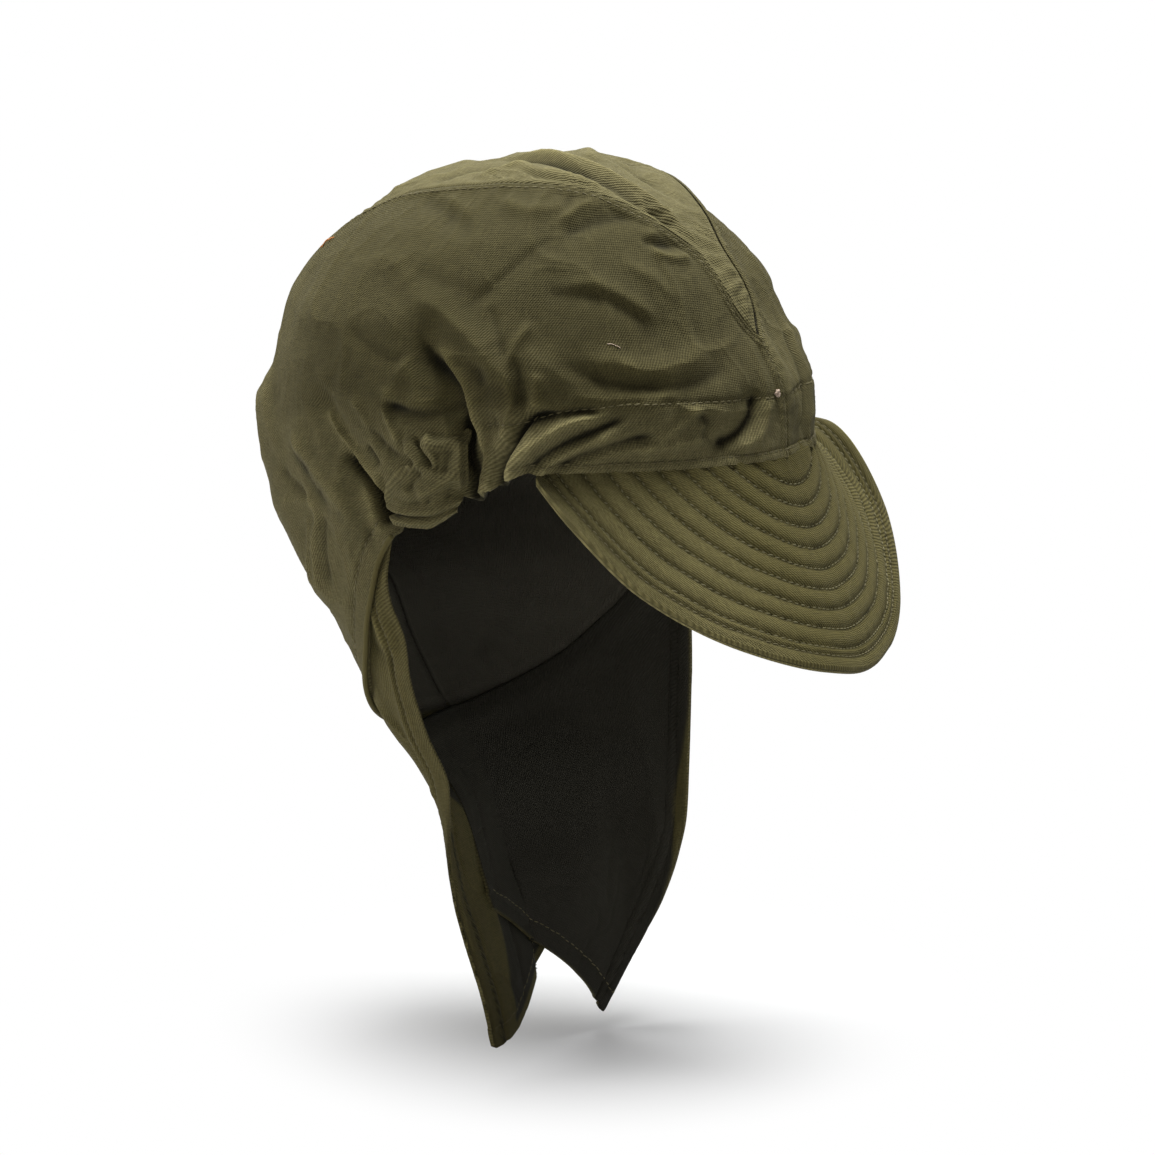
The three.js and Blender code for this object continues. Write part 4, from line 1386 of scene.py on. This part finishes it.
def make_peak():
    """One skin that runs down the top, rolls round the edge and returns underneath."""
    columns, rows = GRID["peak"]
    piece, u, v = flat_grid("quilted_peak", (columns, rows))
    turn = between(-PEAK_END_TURN, PEAK_END_TURN, u)

    def middle_at(a, b):
        return peak_middle(between(-PEAK_END_TURN, PEAK_END_TURN, a), 1 - b)

    edge = middle_at(np.linspace(0, 1, 600), np.zeros(600))
    inward = row_distances(middle_at, edge)
    # v runs from the underside's inner end, round the edge, to the top's inner end.
    roll_from, roll_to = 0.36, 0.42
    under = v < roll_from
    rolled = (v >= roll_from) & (v <= roll_to)
    share = np.where(under, v / roll_from, np.where(rolled, 1.0, 1 - (v - roll_to) / (1 - roll_to)))
    middle = peak_middle(turn, share)
    away = inward(u, 1 - share)
    normal = face_direction(middle_at, u, np.clip(1 - share, 0, 1))
    down = peak_middle(turn, np.ones_like(share)) - peak_middle(turn, np.full_like(share, 0.97))
    down = down / np.maximum(np.linalg.norm(down, axis=1, keepdims=True), 1e-9)
    half = PEAK_THICKNESS / 2
    angle = np.where(rolled, (v - roll_from) / (roll_to - roll_from) * np.pi, np.where(under, 0, np.pi))
    out_of_edge = np.sin(angle)
    across = -np.cos(angle)
    bead = 1 + (PEAK_ROLL / half - 1) * mound(away, 1.2, 2.4)
    row = (away - PEAK_MARGIN) / PEAK_ROW_SPACING
    in_rows = ease(-0.15, 0.05, row) * (1 - ease(PEAK_ROWS - 1.0, PEAK_ROWS - 0.7, row))
    wave = np.abs(np.sin(np.pi * row)) ** 0.5
    quilt = (wave - 1) * in_rows * PEAK_QUILT_DEPTH
    groove = -0.6 * mound(away, PEAK_EDGE_ROW, 0.9)
    x, y = middle[:, 0], middle[:, 1]
    lumps = 0.3 * waver(x, y, 9, 81) + 0.16 * waver(x, y, 3.5, 82)
    lift = half * bead + (quilt + groove + lumps * (away > 2)) * np.where(under, 0.7, 1.0)
    points = middle + normal * (across * lift)[:, None]
    points = points + down * (out_of_edge * half * bead * 0.9)[:, None]
    write_points(piece.data, points * MM)
    # The underside's cloth is cut from another part of the weave.
    lay_grain(piece.data, np.stack([x, (1 - share) * 80 + (v < 0.4) * 200], -1) * MM)
    # Paler along the edge, where it is rubbed, and on the puffs' tops; the left end is painted paler,
    # painted light for the shade the crown casts on it.
    worn_and_painted_light = mound(away, 0.5, 1.6) + 0.35 * wave**3 * in_rows + 1.9 * (1 - ease(-62, -20, x))
    write_mask(piece.data, "wear", worn_and_painted_light)
    # Painted shade: the underside is taken a quarter of the way to the dark inside colour.
    write_mask(piece.data, "painted_inside_shade", np.where(under, 0.25, 0.0))
    # Painted shade in the quilting grooves and along the edge row, and painted highlight on the puffs.
    painted_groove_shading = (wave - 0.7) * in_rows * np.where(wave < 0.7, 1.0, 0.5)
    painted_groove_shading = painted_groove_shading - 0.5 * mound(away, PEAK_EDGE_ROW, 0.8)
    write_mask(piece.data, "fold", np.clip(painted_groove_shading, -1, 1))
    close_skin(piece, v < 1e-6, v > 1 - 1e-6)
    finish_piece(piece, PEAK_TWILL, ["peak"])
    return piece, middle_at, inward


PEAK, PEAK_MIDDLE, PEAK_INWARD = make_peak()


# --- ear cuffs --------------------------------------------------------------------------------


def make_cuff(side):
    """The gathered ear edge: a puffed band, folded over, with a double hem along its foot."""
    def flat(u, v):
        share = from_front(side, u)
        up = v * CUFF_HEIGHT
        across = between(smooth(CUFF_OUTLINE, "front", up), smooth(CUFF_OUTLINE, "rear", up), share)
        foot = CUFF_FOOT_RISE * (1 - ease(-0.05, 0.36, share))
        height = CUFF_BOTTOM + foot + up * (1 - foot / CUFF_HEIGHT)
        return CUFF_FRONT_TURN + across / ARC_PER_DEGREE, height

    def place(u, v):
        turn, height = flat(u, v)
        share = from_front(side, u)
        puff = np.sin(np.pi * np.clip(share, 0, 1)) ** 0.8 * np.sin(np.pi * np.clip(v, 0, 1)) ** 0.6
        top = ease(0.84, 1, v)
        rear = ease(0.86, 1, share)
        stand = between(CUFF_STAND * (1 - 0.6 * rear), -2.6, top)
        lift = 0.5 + stand + 2.9 * puff * (1 - top)
        return crown_skin(side, turn, height) + outward(side, turn) * lift[..., None]

    def relief(u, v, middle):
        share = from_front(side, u)
        up = v * CUFF_HEIGHT
        front, rear = smooth(CUFF_OUTLINE, "front", up), smooth(CUFF_OUTLINE, "rear", up)
        x = CUFF_WIDTH - between(front, rear, share)
        lift = np.zeros(len(u))
        for line, depth, left, right in CUFF_CREASES:
            lift = lift + crease(x, up, np.array(line, float), depth, left, right)
        lift = lift + 0.4 * pleats(x, up, 6, 92 + side) + 0.12 * waver(x, up, 2.2, 95)
        level = up + 0.7 * waver(x, up * 0, 6, 98)
        slit = 0.35 + 0.65 * ease(22, 10, x) + 0.25 * waver(x, up * 0, 3, 99)
        hem = 1.3 * mound(level, 5.6, 1.5) - 1.9 * slit * mound(level, 3.2, 0.7)
        hem = hem + 0.9 * mound(level, 1.5, 1.0)
        # The cuff is painted paler all over, painted light for the shade it sits in, and rubbed paler
        # along its foot.
        return lift + hem, {"wear": 1.9 + 0.6 * mound(up, 0, 1.8)}

    def grain(u, v, middle):
        turn, height = flat(u, v)
        return np.stack([turn * ARC_PER_DEGREE, height], -1)

    piece = shape_panel(f"ear_cuff_{WORD[side]}", GRID["cuff"], place, relief, grain, HEM_CLOTH, (5, 4))
    write_mask(piece.data, "painted_inside_shade", np.zeros(len(piece.data.vertices)))
    finish_piece(piece, CROWN_TWILL, [f"ear_gather_{WORD[side]}"])


make_cuff(RIGHT)
make_cuff(LEFT)


# --- stitching --------------------------------------------------------------------------------


def one_stitch():
    """A single stitch, lying along X: a stretched bead with its ends drawn down into the cloth."""
    bpy.ops.object.select_all(action="DESELECT")
    lying = (0, math.pi / 2, 0)
    bpy.ops.mesh.primitive_uv_sphere_add(segments=6, ring_count=6, radius=0.5, rotation=lying)
    stitch = bpy.context.object
    bpy.ops.object.transform_apply(location=True, rotation=True, scale=True)
    points = read_points(stitch.data)
    faces = [list(face.vertices) for face in stitch.data.polygons]
    bpy.data.objects.remove(stitch)
    points[:, 2] -= 0.9 * points[:, 0] ** 2
    return points, faces


STITCH_POINTS, STITCH_FACES = one_stitch()


def surface_of(piece):
    return BVHTree.FromObject(piece, bpy.context.evaluated_depsgraph_get())


def drop_on(surface, points, ways, reach=4.0):
    """Each point brought straight onto the surface from outside, with its normal there."""
    places, normals = [], []
    for point, way in zip(points, ways):
        start = Vector((point + way * reach) * MM)
        hit, normal, _, _ = surface.ray_cast(start, Vector(-way), reach * 2.5 * MM)
        if hit is None:
            hit, normal, _, _ = surface.find_nearest(start)
        places.append(hit)
        normals.append(normal)
    return np.array(places) / MM, np.array(normals)


def evenly(line, pitch):
    """The line's places at an even pitch."""
    along = lengths_along(line)
    marks = np.arange(pitch / 2, along[-1], pitch)
    return np.stack([np.interp(marks, along, line[:, k]) for k in range(line.shape[1])], -1)


def stitch_row(surface, line, ways, rng, pitch=STITCH_PITCH, length=STITCH_LENGTH, width=STITCH_WIDTH):
    """Points of a row of stitches along a line of places outside the surface."""
    both = evenly(np.hstack([line, ways]), pitch)
    places, normals = drop_on(surface, both[:, :3], both[:, 3:])
    sewn = []
    for k in range(len(places)):
        ahead = places[min(k + 1, len(places) - 1)] - places[max(k - 1, 0)]
        if np.linalg.norm(ahead) > 2.6 * pitch:
            continue
        normal = normals[k]
        along = ahead - normal * np.dot(ahead, normal)
        size = np.linalg.norm(along)
        if size < 1e-6:
            continue
        along = along / size
        slant = math.radians(rng.normal(5, 3))
        sideways = np.cross(normal, along)
        along = along * math.cos(slant) + sideways * math.sin(slant)
        sideways = np.cross(normal, along)
        scale = length * rng.uniform(0.9, 1.06)
        local = STITCH_POINTS * (scale, width, width * 0.8)
        sewn.append(
            places[k] + np.outer(local[:, 0], along) + np.outer(local[:, 1], sideways)
            + np.outer(local[:, 2] + width * 0.22, normal)
        )
    return sewn


def add_piece(name, points, faces):
    """A new smooth piece with these points, in millimetres, and faces."""
    mesh = bpy.data.meshes.new(name)
    mesh.from_pydata((points * MM).tolist(), [], faces)
    mesh.polygons.foreach_set("use_smooth", [True] * len(mesh.polygons))
    mesh.validate()
    piece = bpy.data.objects.new(name, mesh)
    bpy.context.scene.collection.objects.link(piece)
    return piece


def sew(name, rows, finish):
    """One object of all the stitches in some rows."""
    stitches = [stitch for row in rows for stitch in row]
    count = len(STITCH_POINTS)
    faces = [[k * count + i for i in face] for k in range(len(stitches)) for face in STITCH_FACES]
    finish_piece(add_piece(name, np.vstack(stitches), faces), finish)


RNG = np.random.default_rng(17)


def crossing(places, distances, level):
    """The place where a run of distances first passes the level, or None."""
    index = int(np.argmax(distances > level))
    if index == 0:
        return None
    t = (level - distances[index - 1]) / (distances[index] - distances[index - 1])
    return between(places[index - 1], places[index], t)


def crown_rows(side):
    """The crown's rows on one side: along the top seam, the band, the foot and the nape, and on the
    right also along the front and back seams.
    """
    surface = surface_of(bpy.data.objects[f"side_panel_{WORD[side]}"])
    _, place = side_place(side)
    rows = []

    def row(u, v):
        us, vs = np.asarray(u, float), np.asarray(v, float)
        line = place(us, vs)
        rows.append(stitch_row(surface, line, face_direction(place, us, vs), RNG))

    def level(edge, distance, starts, run, along_u=False):
        """u and v of places at one distance from an edge, found along a run from each start."""
        a, b = np.meshgrid(starts, run, indexing="ij")
        us, vs = (b, a) if along_u else (a, b)
        away, _ = measure_from(edge, place(us.ravel(), vs.ravel()))
        found = []
        for start, distances in zip(starts, away.reshape(a.shape)):
            crossed = crossing(run, distances, distance)
            if crossed is not None:
                found.append((crossed, start) if along_u else (start, crossed))
        return np.array(found).T

    def shares(low, high, count):
        return from_front(side, np.linspace(low, high, count))

    rise = np.linspace(0, 0.25, 60)
    row(*level(line_on(place, (0, 1), 1), 2.3, shares(0.02, 0.985, 260), 1 - rise))
    if side == RIGHT:
        row(np.full(60, 1 - 0.0068), np.linspace(0.0, 0.96, 60))
        back_seam = line_on(place, 0, (0, 1))
        row(*level(back_seam, 2.3, np.linspace(0.04, 0.9, 90), np.linspace(0, 0.05, 60), along_u=True))
    band = rounded(BAND_STITCHES, 8)
    line = crown_skin(side, band[:, 0], band[:, 1])
    rows.append(stitch_row(surface, line, outward(side, band[:, 0]), RNG))
    lower = line_on(place, (0, 1), 0)
    row(*level(lower, 2.6, shares(0.0, 0.36, 100), rise))
    row(*level(lower, 8, shares(0.575, 0.99, 120), rise))
    return rows


def peak_rows():
    """The peak's quilting rows and the row along its edge, as lines on its top."""
    surface = surface_of(PEAK)
    columns = np.linspace(0, 1, 420)
    shares = np.linspace(0, 1, 160)
    a, b = np.meshgrid(columns, shares, indexing="ij")
    away = PEAK_INWARD(a.ravel(), b.ravel()).reshape(a.shape)
    rows = []
    for level in [PEAK_EDGE_ROW] + [PEAK_MARGIN + k * PEAK_ROW_SPACING for k in range(PEAK_ROWS)]:
        line = []
        for column, run in zip(columns, away):
            crossed = crossing(shares, run, level) if run[-1] > level else None
            if crossed is not None:
                line.append((column, crossed))
        if len(line) > 8:
            us, vs = np.array(line).T
            ways = face_direction(PEAK_MIDDLE, us, vs)
            rows.append(stitch_row(surface, PEAK_MIDDLE(us, vs), ways, RNG, pitch=2.7, length=2.0))
    return rows


def flap_rows(side):
    """Rows inside the front edge and above the hem, seen on both faces of a flap half."""
    surface = surface_of(bpy.data.objects[f"flap_panel_{WORD[side]}"])
    _, place = flap_place(side)
    front = line_on(place, 1 if side == RIGHT else 0, (0, 1))
    hem = line_on(place, (0, 1), 0)
    steps = np.linspace(0, 0.42, 120)
    ups, inwards = np.meshgrid(np.linspace(0.07, 0.93, 200), from_front(side, steps), indexing="ij")
    acrosses, rises = np.meshgrid(np.linspace(0.02, 0.98, 200), steps, indexing="ij")
    rows = []
    for edge, us, vs, distance, inside_too in (
        (front, inwards, ups, 6.2, False),
        (hem, acrosses, rises, 6.6, True),
    ):
        away, _ = measure_from(edge, place(us.ravel(), vs.ravel()))
        first = np.argmax(away.reshape(us.shape) > distance, axis=1)
        found = np.flatnonzero(first)
        us, vs = us[found, first[found]], vs[found, first[found]]
        way = face_direction(place, us, vs)
        rows.append(stitch_row(surface, place(us, vs), way, RNG))
        if inside_too:
            rows.append(stitch_row(surface, place(us, vs), -way, RNG, width=0.4))
    return rows


sew("crown_stitching", crown_rows(RIGHT) + crown_rows(LEFT), SEAM_THREAD)
PEAK_ROW_STITCHES = peak_rows()
sew("peak_edge_stitching", PEAK_ROW_STITCHES[:1], SEAM_THREAD)
sew("peak_stitching", PEAK_ROW_STITCHES[1:], PEAK_THREAD)
sew("flap_stitching", flap_rows(RIGHT) + flap_rows(LEFT), SEAM_THREAD)


def cord(name, line, radius, finish, sides=8):
    """A round thread or cord along a line of places."""
    line = np.array(line, float)
    ahead = np.gradient(line, axis=0)
    ahead /= np.linalg.norm(ahead, axis=1, keepdims=True)
    level = np.cross(ahead, np.array([0.3, 0.2, 1.0]))
    level /= np.linalg.norm(level, axis=1, keepdims=True)
    rise = np.cross(level, ahead)
    angles = np.arange(sides) * 2 * np.pi / sides
    size = radius * np.ones(len(line))
    size[[0, -1]] *= 0.35
    cosine, sine = np.cos(angles)[None, :, None], np.sin(angles)[None, :, None]
    round_line = cosine * level[:, None] + sine * rise[:, None]
    rings = (line[:, None] + size[:, None, None] * round_line).reshape(-1, 3)
    faces = [list(range(sides))[::-1], [(len(line) - 1) * sides + k for k in range(sides)]]
    for ring in range(len(line) - 1):
        for k in range(sides):
            after = (k + 1) % sides
            near, far = ring * sides, (ring + 1) * sides
            faces.append([near + k, near + after, far + after, far + k])
    thread = add_piece(name, rings, faces)
    select_only(thread)
    bpy.ops.object.mode_set(mode="EDIT")
    bpy.ops.mesh.select_all(action="SELECT")
    bpy.ops.mesh.normals_make_consistent(inside=False)
    bpy.ops.object.mode_set(mode="OBJECT")
    finish_piece(thread, finish)
    return thread


def nape_piping(side):
    """The piping along the nape seam, from behind the cuff down to the nape."""
    _, place = side_place(side)
    us = from_front(side, np.linspace(0.56, 0.995, 160))
    line = place(us, np.zeros(160)) + face_direction(place, us, np.full(160, 0.002)) * PIPING_STAND
    line[:, 2] -= 0.3
    cord(f"nape_piping_{WORD[side]}", line, PIPING_RADIUS, FLAP_TWILL)


def bartack(side):
    """A short dense bar of stitches under the cuff, where seams and gathers meet."""
    surface = surface_of(bpy.data.objects[f"side_panel_{WORD[side]}"])
    turn = np.linspace(88.5, 92, 40)
    line = crown_skin(side, turn, np.linspace(-27.5, -29, 40))
    rows = []
    ways = outward(side, turn)
    for drop in (0, 0.5, 1.0):
        lower = line - np.array([0, 0, drop])
        rows.append(stitch_row(surface, lower, ways, RNG, pitch=0.8, length=1.9, width=0.7))
    return rows


def back_seam_binding():
    """The bound seam allowances inside the centre-back seam, which also keep light out."""
    _, place = side_place(LEFT)
    us, vs = np.ones(120), np.linspace(0.03, 0.985, 120)
    line = place(us, vs) - face_direction(place, us, vs) * BINDING_DEPTH
    line[:, 0] = 0
    binding = cord("back_seam_binding", line, BINDING_RADIUS, CROWN_TWILL)
    # Painted shade: the binding takes the inside colour, like the inner side around it.
    write_mask(binding.data, "painted_inside_shade", np.ones(len(binding.data.vertices)))


nape_piping(RIGHT)
nape_piping(LEFT)
back_seam_binding()
sew("bartacks", bartack(RIGHT) + bartack(LEFT), SEAM_THREAD)


def loose_end(name, side, start, steps, radius, finish):
    """A loose end of thread lying on the crown: its start in turn and height, and steps in mm."""
    surface = surface_of(bpy.data.objects[f"side_panel_{WORD[side]}"])
    walk = np.vstack([[0, 0], np.cumsum(np.array(steps, float), axis=0)])
    flat = rounded(np.array(start) + walk / (ARC_PER_DEGREE, 1))
    turn, height = flat.T
    places, normals = drop_on(surface, crown_skin(side, turn, height), outward(side, turn))
    rise = radius * (0.6 + 2.0 * np.abs(np.sin(np.linspace(0, 7, len(places)))))
    cord(name, places + normals * rise[:, None], radius, finish, sides=6)


BACK_STEPS = ((1.2, -1.4), (2.2, 0.3), (1.4, -1.6), (0.4, -1.8))
KNOT_STEPS = ((0.8, 0.9), (0.9, -0.6), (-0.8, -0.9), (-0.7, 0.8), (1.0, 1.0))
LINT_STEPS = ((2.6, 1.4), (1.8, 0.2))
loose_end("loose_thread_back", RIGHT, (146, 69), BACK_STEPS, 0.28, LOOSE_THREAD)
loose_end("thread_knot", RIGHT, (2.6, 22), KNOT_STEPS, 0.5, PALE_THREAD)
loose_end("lint", RIGHT, (41, 41), LINT_STEPS, 0.13, PALE_THREAD)


# --- studio -----------------------------------------------------------------------------------


def studio_way(right, up, near):
    """A direction or place given from the camera's view, in metres."""
    to_right = Vector((math.cos(AZIMUTH), math.sin(AZIMUTH), 0))
    to_camera = Vector((math.sin(AZIMUTH), -math.cos(AZIMUTH), 0))
    return to_right * right + to_camera * near + Vector((0, 0, up))


def make_camera(scene):
    lens = bpy.data.cameras.new("studio_camera")
    lens.sensor_width = SENSOR
    lens.lens = SENSOR * CAMERA_DISTANCE / FRAME_WIDTH
    lens.clip_start, lens.clip_end = 0.05, 60
    camera = bpy.data.objects.new("studio_camera", lens)
    scene.collection.objects.link(camera)
    back = Vector((
        math.sin(AZIMUTH) * math.cos(ELEVATION),
        -math.cos(AZIMUTH) * math.cos(ELEVATION),
        math.sin(ELEVATION),
    ))
    camera.location = AIM + back * CAMERA_DISTANCE
    camera.rotation_euler = (math.pi / 2 - ELEVATION, 0, AZIMUTH)
    scene.camera = camera


def make_softbox(scene, name, place, size, power, tint):
    light = bpy.data.lights.new(name, "AREA")
    light.shape = "RECTANGLE"
    light.size, light.size_y = size
    light.energy = power
    light.color = tint
    lamp = bpy.data.objects.new(name, light)
    scene.collection.objects.link(lamp)
    lamp.location = AIM + studio_way(*place)
    lamp.rotation_euler = (AIM - lamp.location).to_track_quat("-Z", "Y").to_euler()


def make_air(scene):
    """White behind the cap for the camera, and a weak grey light for the cloth."""
    scene.world = bpy.data.worlds.new("studio_air")
    w = blank_wiring(scene.world)
    seen = w.node("ShaderNodeLightPath").outputs["Is Camera Ray"]
    strength = w.spread(seen, 0.0, 1.0, AIR_LIGHT, 1.0)
    air = w.node("ShaderNodeBackground", {"Color": (1, 1, 1, 1), "Strength": strength})
    w.node("ShaderNodeOutputWorld", {"Surface": air.outputs[0]})


def make_floor():
    """Pale paper: grey near the cap, a painted shadow that also takes the cap's real soft shadow, and it
    turns white away from it.
    """
    bpy.ops.object.select_all(action="DESELECT")
    bpy.ops.mesh.primitive_plane_add(size=FLOOR_SIZE, location=(0, 0, FLOOR_HEIGHT))
    floor = bpy.context.object
    floor.name = "studio_floor"
    bpy.ops.object.transform_apply(location=True, rotation=True, scale=True)
    paper = bpy.data.materials.new("Pale studio floor")
    w = blank_wiring(paper)
    right, near = SHADOW_PLACE
    turned = w.node("ShaderNodeMapping", {
        "Vector": w.node("ShaderNodeTexCoord").outputs["Object"],
        "Location": AIM.to_2d().to_3d() + studio_way(right, FLOOR_HEIGHT, near),
        "Rotation": (0, 0, AZIMUTH),
        "Scale": (*SHADOW_SIZE, 1),
    }, vector_type="TEXTURE")
    reach = w.node("ShaderNodeVectorMath", {0: turned.outputs[0]}, operation="LENGTH").outputs["Value"]
    far = w.node(
        "ShaderNodeMapRange",
        {"Value": reach, "From Min": 0.1, "From Max": 1.0},
        interpolation_type="SMOOTHSTEP",
    ).outputs[0]
    glow = w.math("MULTIPLY", far, w.node("ShaderNodeLightPath").outputs["Is Camera Ray"])
    # Painted shadow: grey paper where the shadow lies, which also takes the real shadow.
    matt = w.node("ShaderNodeBsdfDiffuse", {"Color": FLOOR_SHADOW_GREY})
    lit = w.node("ShaderNodeEmission", {"Color": (1, 1, 1, 1), "Strength": 1.0})
    mixed = w.node("ShaderNodeMixShader", {0: glow, 1: matt.outputs[0], 2: lit.outputs[0]})
    w.node("ShaderNodeOutputMaterial", {"Surface": mixed.outputs[0]})
    floor.data.materials.append(paper)


def make_studio():
    scene = bpy.context.scene
    make_camera(scene)
    for name, place, size, power, tint in SOFTBOXES:
        make_softbox(scene, name, place, size, power, tint)
    make_air(scene)
    make_floor()
    scene.view_settings.view_transform = "Standard"
    scene.view_settings.look = "None"
    scene.view_settings.exposure = 0
    scene.view_settings.gamma = 1


make_studio()
